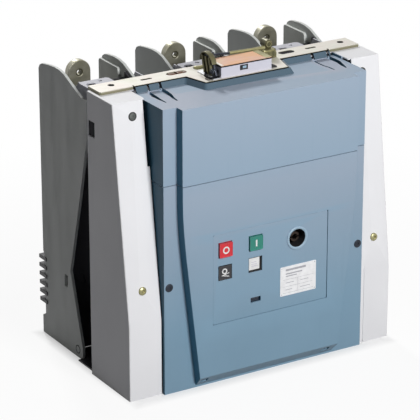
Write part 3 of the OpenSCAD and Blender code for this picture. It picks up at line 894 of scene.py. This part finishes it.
def tripLever():
    low, high = cadSize("trip_lever")
    foot = block("tripLeverFoot", (low[0], low[1], low[2]), (high[0], high[1], low[2] + 2.5))
    for y in leverSet["holes"]:
        cut(foot, rod("footTool", (low[0] + 5, y, low[2] - 1), (low[0] + 5, y, low[2] + 4), 3))
    soften(foot, 0.5, 2)
    dress(foot, "zinc_sheet", nodes=["trip_lever"])
    web = plate("leverWeb", [(-64, y, z) for y, z in ((-108, 573), (-62, 573), (-58, 596), (-62, 607),
                                                      (-74, 611), (-87, 608), (-97, 598), (-102, 588))],
                                                      (4, 0, 0))
    soften(web, 0.7, 2)
    dress(web, "screw_dark")
    arch = trace("leverArch", [(-68, y, z) for y, z in ((-101, 597), (-97, 606), (-87, 613.5), (-74, 616),
                                                        (-63, 613), (-56.5, 605), (-55, 596))],
                                                        filled=False)
    allEdges()
    pull(x=10)
    leave()
    outside(arch, "z", 1)
    thicken(arch, 3)
    soften(arch, 0.7, 3, 45)
    ribs = [arch]
    for y in leverSet["ribs"]:   # slanted ribs on the side of the web
        rib = plate("leverRib", [(-68, y, 575), (-68, y + 5, 575), (-68, y + 5 + leverSet["lean"], 607),
                                 (-68, y + leverSet["lean"], 607)], (5, 0, 0))
        soften(rib, 1, 3)
        ribs.append(rib)
    dress(join("tripLeverRibs", *ribs), "olive_dark")
    # bent leg of the spring
    hook = [(-66, -74, 576), (-79, -93, 576), (-78, -110, 575.5), (-57, -108, 575.5)]
    legs = [rod("hookLeg", a, b, 2.1, 16) for a, b in zip(hook, hook[1:])]
    for leg in legs:
        soften(leg, 0.9, 3)
    dress(join("tripLeverHook", *legs), "seal_black")
    loop = coilSpring("tripLeverSpring", 6.2, 1.3, 3, 4.4)
    seat(loop, (-62, -104, 582), (0, 1, 0))
    dress(loop, "screw_dark")


def latchGear():
    low, high = cadSize("latch_bracket")
    bracket = plate("latchBracketPlate", [(high[0], low[1], low[2]), (low[0], low[1], low[2]),
                                          (low[0], low[1], high[2] - 4), (low[0] + 6, low[1], high[2]),
                                          (high[0] - 5, low[1], high[2]), (high[0], low[1], high[2] - 6)],
                                          (0, 3, 0))
    sides = [block("bracketSide", (x, low[1] + 3, low[2]), (x + 3, high[1], high[2]))
             for x in (low[0], high[0] - 3)]
    roof = block("bracketRoof", (low[0], low[1] + 3, high[2] - 3), (high[0], high[1], high[2]))
    for part in (bracket, roof, *sides):
        soften(part, 0.6, 2)
    dress(join("latchBracketBody", bracket, roof, *sides), "olive_steel", nodes=["latch_bracket"])
    clamps = []
    for k in range(9):   # ribbed clamp on the bracket's face
        rib = block("clampRib", (low[0] + 2 + k * 3, low[1] - 3, low[2] + 1),
                    (low[0] + 4 + k * 3, low[1] + 1, high[2] - 2))
        soften(rib, 0.5, 2)
        clamps.append(rib)
    dress(join("latchClampRibs", *clamps), "bolt_zinc")
    low, high = cadSize("latch_knob")
    radius = (high[0] - low[0]) / 2
    cx, cz, length = (low[0] + high[0]) / 2, high[2] - radius, high[1] - low[1]
    knob = lathe("latchKnob", [(0, 0), (radius - 1.5, 0), (radius, 1.5), (radius, length - 3),
                               (radius - 1.4, length - 1), (radius - 2.6, length - 0.4),
                               (radius - 3.2, length - 1.8), (0, length - 1.8)], 44)
    soften(knob, 0.3, 2)
    seat(knob, (cx, high[1], cz), (0, -1, 0))
    base = block("knobBase", (cx - 5, low[1] + 2, low[2]), (cx + 5, high[1] - 2, low[2] + 5))
    soften(base, 0.5, 2)
    dress(join("latchKnobDisc", knob, base), "olive_dark", nodes=["latch_knob"])
    shine = tube("latchKnobRing", 4.6, 6.4, 0, 0.5)
    soften(shine, 0.1, 2)
    seat(shine, (cx, high[1] - (length - 1.6), cz), (0, -1, 0))
    dress(shine, "olive_steel")


linkSet = {"y": -56, "z": 601, "dark": (-50, -2), "plated": (-4, 74), "radius": 2.4, "platedRadius": 3.2,
           "stand": (-50, -38)}


def links():   # thin rods that run behind the plug box
    y, z = linkSet["y"], linkSet["z"]
    (x0, x1), (x2, x3), (x4, x5) = linkSet["dark"], linkSet["stand"], linkSet["plated"]
    link = rod("linkRod", (x0, y, z), (x1, y, z - 4), linkSet["radius"], 20)
    stand = block("linkStand", (x2, y - 2, 571), (x3, y + 2, z + 4))
    soften(link, 0.4, 2)
    soften(stand, 0.6, 2)
    dress(join("latchRodDark", link, stand), "screw_dark")
    link = rod("latchRodPlated", (x4, y, z - 4), (x5, y, z - 6), linkSet["platedRadius"], 20)
    soften(link, 0.4, 2)
    dress(link, "olive_steel")


plugBox()
tripLever()
latchGear()
links()
print("gear on the shelf done")


# ---- control panel and what sits in it ----
controlSet = {"windows": [(-100, 274), (-34, 274), (-100, 228), (-34, 230)], "windowHalf": 14.8,
              "counter": (-44, -22, 154, 164), "crank": (58, 264, 20), "corner": 3}


def controlPanel():
    low, high = cadSize("control_panel")
    panel = block("controlPanelPlate", low, high)
    edit(panel)
    pick("EDGE", lambda a, b: abs(a.y - b.y) > 1)
    roundOff(controlSet["corner"], 4)
    leave()
    half = controlSet["windowHalf"]
    for x, z in controlSet["windows"]:
        cut(panel, block("windowTool", (x - half, low[1] - 1, z - half), (x + half, high[1] + 1, z + half)))
    x0, x1, z0, z1 = controlSet["counter"]
    cut(panel, block("counterTool", (x0, low[1] - 1, z0), (x1, high[1] + 1, z1)))
    x, z, radius = controlSet["crank"]
    cut(panel, rod("crankTool", (x, low[1] - 1, z), (x, high[1] + 1, z), radius, 64))
    soften(panel, 0.5, 3, 40)
    dress(panel, "cover_blue", nodes=["control_panel"])


buttonSet = {"corner": 1.6, "rim": 1.6, "sunk": 0.7, "ring": (4.4, 7.2, 0, 0.65), "bar": (1.7, 6.5)}


def pushButton(node, finish, body):
    cap = block(node + "Cap", *cadSize(node))
    edit(cap)
    pick("EDGE", lambda a, b: abs(a.y - b.y) > 5)
    roundOff(buttonSet["corner"])
    sink(buttonSet["rim"], buttonSet["sunk"])
    soften(cap, 0.5, 3, 20)
    dress(cap, finish, body, [node])


def buttonSigns():
    low, high = cadSize("off_button")
    ring = tube("offSign", *buttonSet["ring"])
    soften(ring, 0.15, 2)
    seat(ring, ((low[0] + high[0]) / 2, low[1] + 0.75, (low[2] + high[2]) / 2 - 0.5), (0, -1, 0))
    dress(ring, "indicator_white", "off_button")
    low, high = cadSize("on_button")
    x, z, (w, h) = (low[0] + high[0]) / 2, (low[2] + high[2]) / 2, buttonSet["bar"]
    bar = block("onSign", (x - w, low[1] + 0.1, z - h), (x + w, low[1] + 0.75, z + h))
    soften(bar, 0.15, 2)
    dress(bar, "indicator_white", "on_button")


indicatorSet = {"face": 13.8, "rim": 1.8, "sunk": 0.8, "ring": (3.2, 5.6, 0, 0.6), "frame": 14.6,
                "wedge": [(-9, -5.2), (8.5, -9.6), (8.5, -8.0), (-3.5, -5.2), (8.5, -2.4), (8.5, -0.8)],
                "marks": (-4, 0, 4)}


def indicators():
    low, high = cadSize("spring_indicator")
    (x, z), half = controlSet["windows"][2], indicatorSet["face"]
    face = block("springIndicatorFace", (x - half, low[1], z - half), (x + half, high[1] - 2, z + half))
    edit(face)
    sink(indicatorSet["rim"], indicatorSet["sunk"])
    soften(face, 0.5, 3, 20)
    dress(face, "indicator_black", nodes=["spring_indicator"])
    ring = tube("springRing", *indicatorSet["ring"])
    soften(ring, 0.12, 2)
    seat(ring, (x - 1.5, low[1] + 0.8, z + 2.8), (0, -1, 0))
    y0, y1 = low[1] + 0.25, low[1] + 0.8
    wedge = plate("springWedge", [(x + dx, y1, z + dz) for dx, dz in indicatorSet["wedge"]],
                  (0, y0 - y1, 0))
    soften(wedge, 0.1, 2)
    dress(join("springIndicatorSign", ring, wedge), "indicator_white")
    (x, z), half = controlSet["windows"][3], indicatorSet["frame"]
    rear = cadSize("position_indicator")[1][1] - 1
    frameWithPaintedShadow = block("positionIndicatorFrame", (x - half, -197.6, z - half), (x + half, rear, z + half))
    # the opening and the flag sit off-centre, so the black frame shows wider at the right and bottom:
    # painted shadow of the recess
    cut(frameWithPaintedShadow, block("frameTool", (x - 13.2, -199, z - 12.4), (x + 12.0, -194.4, z + 13.2)))
    soften(frameWithPaintedShadow, 0.3, 2)
    dress(frameWithPaintedShadow, "black_plastic", nodes=["position_indicator"])
    flag = block("positionFlag", (x - 13.0, -197.0, z - 10.8), (x + 10.2, -194.6, z + 13.0))
    soften(flag, 0.5)
    dress(flag, "indicator_white")
    bars = [block("flagMark", (x - 8, -197.2, z + k), (x + 5 - k * 0.4, -196.9, z + k + 1.4))
            for k in indicatorSet["marks"]]
    marks = join("positionFlagMarks", *bars)
    soften(marks, 0.1, 2)
    dress(marks, "plug_box_grey")


counterSet = {"rim": 2.5, "sunk": 1.0, "wheels": 5, "first": -41.2, "step": 3.5, "radius": 4.2,
              "height": 159}


def counter():
    low, high = cadSize("counter_window")
    window = block("counterCase", low, high)
    edit(window)
    sink(counterSet["rim"], counterSet["sunk"])
    soften(window, 0.4, 2, 20)
    dress(window, "window_dark", nodes=["counter_window"])
    wheels, radius = [], counterSet["radius"]
    for k in range(counterSet["wheels"]):
        wheel = lathe("wheel", [(0, 0), (radius, 0), (radius, 3.0), (0, 3.0)], 30)
        place = (counterSet["first"] + k * counterSet["step"], low[1] + 4.8, counterSet["height"])
        wheels.append(seat(wheel, place, (1, 0, 0)))
    row = join("counterWheels", *wheels)
    soften(row, 0.2, 2)
    dress(row, "screw_dark")


crankSet = {"lip": [(-2.2, 36), (2.9, 36), (2.9, 37.1), (1.6, 38), (-0.6, 38), (-2.2, 37), (-2.2, 36)],
            "tube": (2, 0.4, 34), "socket": 6, "hub": [(0, 0), (3.9, 0), (3.9, 1), (9.5, 1.2), (11, 2.2),
                                                       (11, 26), (9.6, 28), (0, 28)]}


def crankOpening():
    x, z, radius = controlSet["crank"]
    low, high = cadSize("crank_bezel")
    wall, gap, length = crankSet["tube"]
    ring = tube("crankBezelRing", radius - wall, radius - gap, 0, length)
    lip = lathe("crankLip", [(radius + r, h) for r, h in crankSet["lip"]], 64)
    seat(lip, (x, low[1] + 38, z), (0, -1, 0))
    soften(lip, 0.3, 2, 30)
    dress(lip, "bezel_plastic", nodes=["crank_bezel"])
    seat(ring, (x, low[1] + 36, z), (0, -1, 0))
    floorDisc = lathe("crankFloor", [(0, 0), (radius - gap, 0), (radius - gap, 2), (6, 2), (4, 1), (0, 1)])
    seat(floorDisc, (x, high[1], z), (0, -1, 0))
    lining = join("crankTube", ring, floorDisc)
    soften(lining, 0.3, 2, 30)
    dress(lining, "black_plastic")
    low = cadSize("crank_coupling")[0]
    hub = lathe("crankCouplingHub", crankSet["hub"])
    cut(hub, rod("socketTool", (0, 0, 8), (0, 0, 30), crankSet["socket"], 6))
    cut(hub, block("pinTool", (-12, -1.6, 23), (12, 1.6, 30)))   # slot for the crank's pins
    soften(hub, 0.4, 2, 30)
    seat(hub, (x, low[1] + 28, z), (0, -1, 0))
    dress(hub, "socket_steel", "crank_coupling", ["crank_coupling"])


labelSet = {"corner": 1.8, "rivetX": (24, 98), "rivetZ": (155, 208), "rivet": (1.5, 0.35, 0.3, 0.1),
            "bars": [(33, 78, 201.5, 205.5), (33, 70, 194.5, 197), (33, 58, 190, 192), (27, 95, 184, 184.5),
                     (27, 95, 170, 170.5), (27, 95, 157, 157.5), (60, 60.5, 157, 184), (33, 52, 177, 178.2),
                     (66, 84, 177, 178.2), (33, 48, 163, 164.2), (66, 88, 163, 164.2)]}


def ratingPlate():   # left blank, with plain bars
    low, high = cadSize("rating_plate")
    label = block("ratingPlateBlank", low, high)
    edit(label)
    pick("EDGE", lambda a, b: abs(a.y - b.y) > 0.2)
    roundOff(labelSet["corner"])
    leave()
    soften(label, 0.15, 2)
    dress(label, "label_white", nodes=["rating_plate"])
    y0, y1 = low[1] - 0.04, low[1] + 0.3
    bars = [block("plateMark", (x0, y0, z0), (x1, y1, z1)) for x0, x1, z0, z1 in labelSet["bars"]]
    lines = join("ratingPlateLines", *bars)
    soften(lines, 0.05, 1)
    dress(lines, "mark_grey")
    rivets = [screwHead("plateRivet", (x, low[1], z), (0, -1, 0), *labelSet["rivet"])
              for x in labelSet["rivetX"] for z in labelSet["rivetZ"]]
    dress(join("ratingPlateRivets", *rivets), "zinc_sheet")


glossy("mark_grey", (0.42, 0.42, 0.46), 0.4)
controlPanel()
pushButton("off_button", "button_red", "off_button")
pushButton("on_button", "button_green", "on_button")
buttonSigns()
indicators()
counter()
crankOpening()
ratingPlate()
print("controls done")


# ---- screws and bolts that show ----
fastenerSet = {"bolt": (7.8, 3.9, 3.0, 2.2), "coverScrew": (8, 1.95, 2.8, 1.4), "topSocket": 2.2,
               "topBolt": [(0, -1), (6.6, -1), (6.6, 0.9), (5.8, 1.5), (3.4, 1.8), (0, 1.8)],
               "topRing": [(6.6, -0.6), (8.4, -0.6), (8.4, 0.5), (7.8, 0.9), (6.6, 0.9), (6.6, -0.6)]}


def fasteners():
    slope = math.atan(panelSet["leanBack"] / (panelSet["height"] - panelSet["leanStart"]))
    out = Vector((0, -math.cos(slope), math.sin(slope)))
    bolts, tops, rings = [], [], []
    for side in (-1, 1):
        for inset, z in panelSet["boltHoles"]:
            place = Vector((side * (panelSet["halfWidth"] - inset), panelSet["front"] + leanBy(z), z))
            if z < 300:
                bolts.append(screwHead("bolt", place, out, *fastenerSet["bolt"]))
            else:   # countersunk, in a dark pressed ring
                head = lathe("topBolt", fastenerSet["topBolt"])
                cut(head, rod("socketTool", (0, 0, 0.4), (0, 0, 3), fastenerSet["topSocket"], 6))
                soften(head, 0.2, 2, 25)
                tops.append(seat(head, place, out))
                ring = lathe("topBoltRing", fastenerSet["topRing"])
                soften(ring, 0.2, 2, 25)
                rings.append(seat(ring, place, out))
    dress(join("sidePanelBolts", *bolts), "bolt_zinc", nodes=["side_panel_bolts"])
    dress(join("sidePanelTopBolts", *tops), "bolt_grey", nodes=["side_panel_bolts"])
    dress(join("sidePanelTopRings", *rings), "black_plastic", nodes=["side_panel_bolts"])
    screws = [screwHead("coverScrew", (x, coverSet["bandY"], coverSet["screwHeight"]), (0, -1, 0),
                        *fastenerSet["coverScrew"]) for x in coverSet["screws"]]
    dress(join("coverScrewHeads", *screws), "screw_dark", nodes=["cover_screws"])


fasteners()
print("fasteners done")


# ---- poles ----
poleSet = {"pitch": 210, "wall": 6, "wallHalf": 66, "liner": (97, 172, 190, 552), "linerX": (54, 60),
           "slotX": 63, "pads": (42, 72), "padRibs": 9, "barrier": (82, 88, 3, 536),
           "plug": [(0, -1), (8.6, -1), (8.6, 0.3), (7.4, 0.5), (6.8, -0.6), (0, -0.6)],
           "front": [(42, 0), (34, 8), (35, 27), (78, 170), (35, 330), (3, 458), (1, 535), (24, 535),
                     (60, 550), (88, 562), (105, 565.5), (125, 566), (150, 563.5)],
                     "rear": [(175, 559.5), (184, 555), (189, 547), (189, 176)],
                     "rearRight": [(160, 561), (168, 556), (172, 548), (172, 186)],
                     "foot": [(184, 167), (184, 44), (196, 37), (196, 0)]}


def shellWall(name, x0, x1, side):
    rear = poleSet["rearRight"] if side > 0 else poleSet["rear"]
    return plate(name, [(x0, y, z) for y, z in poleSet["front"] + rear + poleSet["foot"]], (x1 - x0, 0, 0))


def pole(number):
    x = (number - 2) * poleSet["pitch"]
    half, inner = poleSet["wallHalf"], poleSet["wallHalf"] - poleSet["wall"]
    walls, ribs = [], []
    for side in (-1, 1):
        wall = shellWall("wall", *span(side, inner, half, x), side)
        slot = x + side * poleSet["slotX"]
        cut(wall, block("slotTool", (slot - 8, 90, 132), (slot + 8, 102, 156)))
        soften(wall, 0.9, 3, 40)
        (x0, x1), (y0, y1, z0, z1) = span(side, *poleSet["linerX"], x), poleSet["liner"]
        liner = block("liner", (x0, y0, z0), (x1, y1, z1))
        edit(liner)
        pick("EDGE", lambda a, b: abs(a.x - b.x) > 2)
        roundOff(6)
        leave()
        soften(liner, 1, 2, 40)
        walls += [wall, liner]
    dress(join("poleShellWalls%d" % number, *walls), "shell_grey", nodes=["pole_shell_%d" % number])
    y0, y1 = poleSet["pads"]
    for k in range(poleSet["padRibs"]):   # ribbed seal inside the right wall's front edge
        y = y0 + (y1 - y0) * k / (poleSet["padRibs"] - 1)
        top = between(poleSet["front"][7:10], y) - 4
        rib = block("padRib", (x + 54.5, y - 1.2, 430), (x + 60.2, y + 1.2, top))
        soften(rib, 0.5, 2)
        ribs.append(rib)
    dress(join("wallSeal%d" % number, *ribs), "black_resin")
    plug = seat(lathe("wallPlug%d" % number, poleSet["plug"]), (x - half, 53, 17), (-1, 0, 0))
    dress(plug, "seal_black")
    y0, y1, z0, z1 = poleSet["barrier"]
    barrier = block("poleBarrier%d" % number, (x - inner, y0, z0), (x + inner, y1, z1))
    soften(barrier, 1.2, 2)
    dress(barrier, "black_resin", nodes=["pole_barrier_%d" % number])
    insulator(number, x)
    interrupter(number)
    terminals(number, x)


insulatorSet = {"body": (59.7, 150, 190, 44, 172), "ribs": 6, "pitch": 18, "rib": (68, 174, 203, 156, 164)}


def insulator(number, x):
    half, y0, y1, z0, z1 = insulatorSet["body"]
    body = block("insulatorBody", (x - half, y0, z0), (x + half, y1, z1))
    soften(body, 3)
    reach, y0, y1, z0, z1 = insulatorSet["rib"]
    ribs = []
    for k in range(insulatorSet["ribs"]):
        drop = insulatorSet["pitch"] * k
        rib = block("rib", (x - reach, y0, z0 - drop), (x + reach, y1, z1 - drop))
        for side in (-1, 1):   # room for the shell wall
            left, right = span(side, half, 66.3, x)
            cut(rib, block("ribTool", (left, 170, 40), (right, 184.3, 175)))
        soften(rib, 2.4, 4, 60)
        ribs.append(rib)
    dress(join("rearInsulator%d" % number, body, *ribs), "black_resin",
          nodes=["rear_insulator_%d" % number])


def interrupter(number):
    low, high = cadSize("interrupter_%d" % number)
    height = high[2] - low[2]
    centre = ((low[0] + high[0]) / 2, (low[1] + high[1]) / 2, low[2])
    waist, bottom = height / 2, [(30, 20), (40, 20), (42, 23)]
    profile = bottom + [(42, waist - 8), (39, waist - 5), (39, waist + 5), (42, waist + 8)]
    profile += [(radius, height - z) for radius, z in reversed(bottom)]
    ceramic = lathe("interrupterCeramic%d" % number, profile, 56)
    soften(ceramic, 0.8, 2)
    seat(ceramic, centre)
    dress(ceramic, "ceramic_white", nodes=["interrupter_%d" % number])
    steps = [(0, 0), (14, 0), (14, 12), (31, 12), (34, 15), (34, 22), (0, 22)]
    caps = [lathe("cap", [(radius, z + up * rise) for radius, rise in steps], 56)
            for z, up in ((0, 1), (height, -1))]
    cap = join("interrupterCaps%d" % number, *caps)
    soften(cap, 0.6, 2)
    seat(cap, centre)
    dress(cap, "zinc_sheet")


terminalSet = {"half": 24, "thickness": 14, "bore": 7, "ends": 16, "upper": 538, "lower": 214,
               "upperFoot": (470, 486), "footHeight": 16, "liner": (5.5, 7.1, 0.1, 13.9)}


def busbar(name, x, y0, y1, z, zEnd):   # flat bar with a round end and a bolt hole at height z
    half, ends = terminalSet["half"], terminalSet["ends"]
    up = 1 if z > zEnd else -1
    arc = [(x + half * math.cos(math.pi * k / ends), y0, z + up * half * math.sin(math.pi * k / ends))
           for k in range(ends + 1)]
    bar = plate(name, [(x + half, y0, zEnd), *arc, (x - half, y0, zEnd)], (0, y1 - y0, 0))
    cut(bar, rod("boreTool", (x, y0 - 2, z), (x, y1 + 2, z), terminalSet["bore"], 40))
    return bar


def boreLiner(x, y, z):
    ring = tube("boreLiner", *terminalSet["liner"], 40)
    soften(ring, 0.3, 2, 25)
    return seat(ring, (x, y, z), (0, -1, 0))


def terminals(number, x):
    liners, half = [], terminalSet["half"]
    for end in ("upper", "lower"):
        node, z = "%s_terminal_%d" % (end, number), terminalSet[end]
        low, high = cadSize(node)
        z0, z1 = terminalSet["upperFoot"] if end == "upper" else (high[2] - terminalSet["footHeight"],
                                                                  high[2])
        bar = busbar("%sTerminal%d" % (end, number), x, high[1] - terminalSet["thickness"], high[1], z,
                     z0 if end == "upper" else z1)
        weld(bar, block("barFoot", (x - half, low[1], z0), (x + half, high[1] - 4, z1)))
        soften(bar, 1.4, 3, 40)
        liners.append(boreLiner(x, high[1], z))
        dress(bar, "terminal_metal", nodes=[node])
    dress(join("terminalBores%d" % number, *liners), "olive_dark")


postSet = {"heights": (90, 480), "sheds": (-6, 14, 34, 54), "start": -27, "radius": 24, "length": 109,
           "shed": [(24, -1), (26, 0), (32, 1.6), (32, 4.4), (26, 6), (24, 7)]}


def posts():
    pieces, radius = [], postSet["radius"]
    profile = [(0, 0), (radius, 0)]
    for y in postSet["sheds"]:
        profile += [(r, y - postSet["start"] + rise) for r, rise in postSet["shed"]]
    profile += [(radius, postSet["length"]), (0, postSet["length"])]
    for number in (-1, 0, 1):
        for z in postSet["heights"]:
            post = lathe("post", profile, 44)
            soften(post, 0.5, 2, 20)
            pieces.append(seat(post, (number * poleSet["pitch"], postSet["start"], z), (0, 1, 0)))
    dress(join("postInsulatorRow", *pieces), "black_resin", nodes=["post_insulators"])


driveSet = {"y": 136, "arm": (8, 88, 64, 84), "rod": [(0, 60), (9, 60), (11, 62), (11, 120), (8.5, 123),
                                                      (8.5, 190), (11, 193), (11, 244), (9, 246), (0, 246)]}


def drives():
    pieces, y = [], driveSet["y"]
    half, front, z0, z1 = driveSet["arm"]
    for number in (-1, 0, 1):
        x = number * poleSet["pitch"]
        bar = lathe("driveRod", driveSet["rod"], 32)
        seat(bar, (x, y, 0))
        arm = block("driveArm", (x - half, front, z0), (x + half, y, z1))
        soften(arm, 1.5)
        soften(bar, 0.5, 2)
        pieces += [bar, arm]
    dress(join("driveRodRow", *pieces), "rod_brown", nodes=["operating_rods"])


for number in (1, 2, 3):
    pole(number)
posts()
drives()
print("poles done")


# ---- plain sheets of the housing ----
sheetSet = {"roofHalf": 222, "roof": 2.5, "front": -27, "floorHoles": (-200, 0, 200), "shelfZ": 553,
            "floor": [(216.7, -176.7), (216.7, -170.5), (264, -170.5), (264, -30)], "sheet": 3,
            "gussets": (-262, -141, -57, 54, 138, 259),
            "gusset": [(-27, 537), (0, 528), (58, 528), (70, 534), (58, 553), (-27, 553)],
            "tab": [(5, 12), (5, 44), (1, 48), (-54, 48), (-58, 44), (-58, 12)],
            "foot": [(59, 38), (59, 81), (-59, 81), (-59, 38)]}


def tabbed(name, half, rear, tab, z):   # a sheet whose rear edge has one tab to each pole
    line = [(-half, sheetSet["front"]), (half, sheetSet["front"]), (half, rear)]
    for x in (poleSet["pitch"], 0, -poleSet["pitch"]):
        line += [(x + dx, y) for dx, y in tab]
    return plate(name, [(x, y, z) for x, y in line + [(-half, rear)]], (0, 0, sheetSet["sheet"]))


def housingSheets():
    low, high = cadSize("back_plate")
    under, half = high[2] - sheetSet["roof"], sheetSet["roofHalf"]
    wall = block("backWall", (low[0], -30, low[2]), (high[0], high[1], under))
    roof = block("backRoof", (-half, low[1], under), (half, high[1], high[2]))
    for x, y, radius in barSet["rounds"]:
        cut(roof, rod("roundTool", (x, y, 550), (x, y, 570), radius))
    for x, y, length, radius in barSet["ovals"]:
        cut(roof, longHole(x, y, length, radius, 555, 570))
    soften(wall, 0.6, 2)
    soften(roof, 0.6, 2)
    dress(join("backPlateSheet", wall, roof), "grey_sheet", nodes=["back_plate"])
    right = [(x, y, 0) for x, y in sheetSet["floor"]]
    floorPan = plate("basePan", [(-x, y, z) for x, y, z in reversed(right)] + right,
                     (0, 0, sheetSet["sheet"]))
    for x in sheetSet["floorHoles"]:
        cut(floorPan, longHole(x, -100, 40, 8, -2, 6))
    soften(floorPan, 0.5, 2)
    dress(floorPan, "zinc_sheet", nodes=["base_plate"])
    shelf = tabbed("carrierPlate", 262, 12, sheetSet["tab"], sheetSet["shelfZ"])
    for x in (poleSet["pitch"], 0, -poleSet["pitch"]):
        cut(shelf, rod("roundTool", (x - 42, 26, 550), (x - 42, 26, 560), 9),
            rod("roundTool", (x - 18, 37, 550), (x - 18, 37, 560), 4.5, 28))
    gussets = [plate("gusset", [(x, y, z) for y, z in sheetSet["gusset"]], (sheetSet["sheet"], 0, 0))
               for x in sheetSet["gussets"]]
    carrier = join("poleCarrierSheets", shelf, *gussets)
    soften(carrier, 0.5, 2, 40)
    dress(carrier, "grey_sheet", nodes=["pole_carrier"])
    lower = tabbed("lowerCarrier", 284, 38, sheetSet["foot"], 0)   # reaches into the pole shells; its black stands in partly for the shade in the gap between the housing and the shells
    upstand = block("lowerUpstand", (-284, -27, 0.2), (284, -24, 24))
    soften(lower, 0.5, 2, 40)
    soften(upstand, 0.5, 2, 40)
    dress(join("lowerCarrierSheet", lower, upstand), "black_resin", nodes=["pole_carrier"])


housingSheets()
print("housing sheets done")


# ---- stage, light and the finishes of the model's parts ----
lightSet = {"key": (62, (0.05, -2.4, 1.6), 0.6), "top": (62, (0.45, 2.5, 2.5), 0.45),
            "fill": (2.6, (-2.2, 1.0, 2.2), 1.2), "world": 0.012}


def areaLamp(name, power, place, size):
    freshStart()
    bpy.ops.object.light_add(type="AREA", location=place)
    lamp = bpy.context.object
    lamp.name = name
    lamp.data.energy = power
    lamp.data.size = size
    lamp.rotation_euler = (Vector((0, 0, 0.25)) - Vector(place)).to_track_quat("-Z", "Y").to_euler()


def studio():
    freshStart()
    bpy.ops.mesh.primitive_plane_add(size=30, location=(0, 0, 0))
    floor = settle("studioFloor")
    s = Sheet("floorWhite")
    tree = s.tree
    path = s.add("ShaderNodeLightPath")
    seen = s.math("MINIMUM", s.math("ADD", s.math("ADD", path.outputs["Is Camera Ray"],
                                                  path.outputs["Is Glossy Ray"]),
                                                  path.outputs["Is Transmission Ray"]), 1.0)
    pale = s.ramp(s.noise(3, 3), [(0.3, (0.88, 0.88, 0.89)), (0.7, (0.91, 0.91, 0.91))])
    s.wire(Base_Color=s.blend(seen, (0.18, 0.18, 0.19), pale))
    s.fixed(Roughness=0.9)
    shine = s.add("ShaderNodeEmission", Color=(1, 1, 1, 1), Strength=1.0)
    mixed = s.add("ShaderNodeMixShader")
    axes = s.add("ShaderNodeSeparateXYZ", {"Vector": s.place}).outputs
    clear = s.math("MAXIMUM", s.level(s.math("ABSOLUTE", axes["X"]), 0.2, 1, 0.26, 0.3),
                   s.level(s.math("ABSOLUTE", axes["Y"]), 0.2, 1, 0.17,
                           0.21))   # painted shade: the floor's glow drops underneath the object
    spread = s.add("ShaderNodeVectorMath", {"Vector": s.place}, operation="LENGTH").outputs["Value"]
    glow = s.math("MULTIPLY", s.level(spread, 0.90, 1.0, 0.45, 1.2), clear)
    tree.links.new(s.math("MULTIPLY", seen, glow), mixed.inputs[0])   # pure white away from the object
    tree.links.new(s.shader.outputs[0], mixed.inputs[1])
    tree.links.new(shine.outputs[0], mixed.inputs[2])
    tree.links.new(mixed.outputs[0], tree.nodes["Material Output"].inputs["Surface"])
    floor.data.materials.append(s.material)
    world = bpy.data.worlds.new("studioWorld")
    bpy.context.scene.world = world
    world.use_nodes = True
    nodes, links = world.node_tree.nodes, world.node_tree.links
    nodes.clear()
    path = nodes.new("ShaderNodeLightPath")
    plain, bright, mixed, out = (nodes.new("ShaderNodeBackground"), nodes.new("ShaderNodeBackground"),
                                 nodes.new("ShaderNodeMixShader"), nodes.new("ShaderNodeOutputWorld"))
    plain.inputs[0].default_value = (0.95, 0.97, 1.0, 1)
    plain.inputs[1].default_value = lightSet["world"]
    bright.inputs[0].default_value = (1, 1, 1, 1)
    bright.inputs[1].default_value = 1.0
    a, b = nodes.new("ShaderNodeMath"), nodes.new("ShaderNodeMath")
    a.operation, b.operation, b.use_clamp = "ADD", "ADD", True
    links.new(path.outputs["Is Camera Ray"], a.inputs[0])
    links.new(path.outputs["Is Glossy Ray"], a.inputs[1])
    links.new(a.outputs[0], b.inputs[0])
    links.new(path.outputs["Is Transmission Ray"], b.inputs[1])
    links.new(b.outputs[0], mixed.inputs[0])
    links.new(plain.outputs[0], mixed.inputs[1])
    links.new(bright.outputs[0], mixed.inputs[2])
    links.new(mixed.outputs[0], out.inputs[0])


studio()
for lampName in ("key", "top", "fill"):
    areaLamp(lampName + "Lamp", *lightSet[lampName])
bpy.context.scene.view_settings.view_transform = "Standard"
print("stage lit")

for nodeName, slotName in [(part["node"], part["material_slot"]) for part in frame["record"]["subparts"]]:
    shown = frame["nodes"][nodeName]
    shown.data.materials.clear()
    shown.data.materials.append(finishes[slotName])
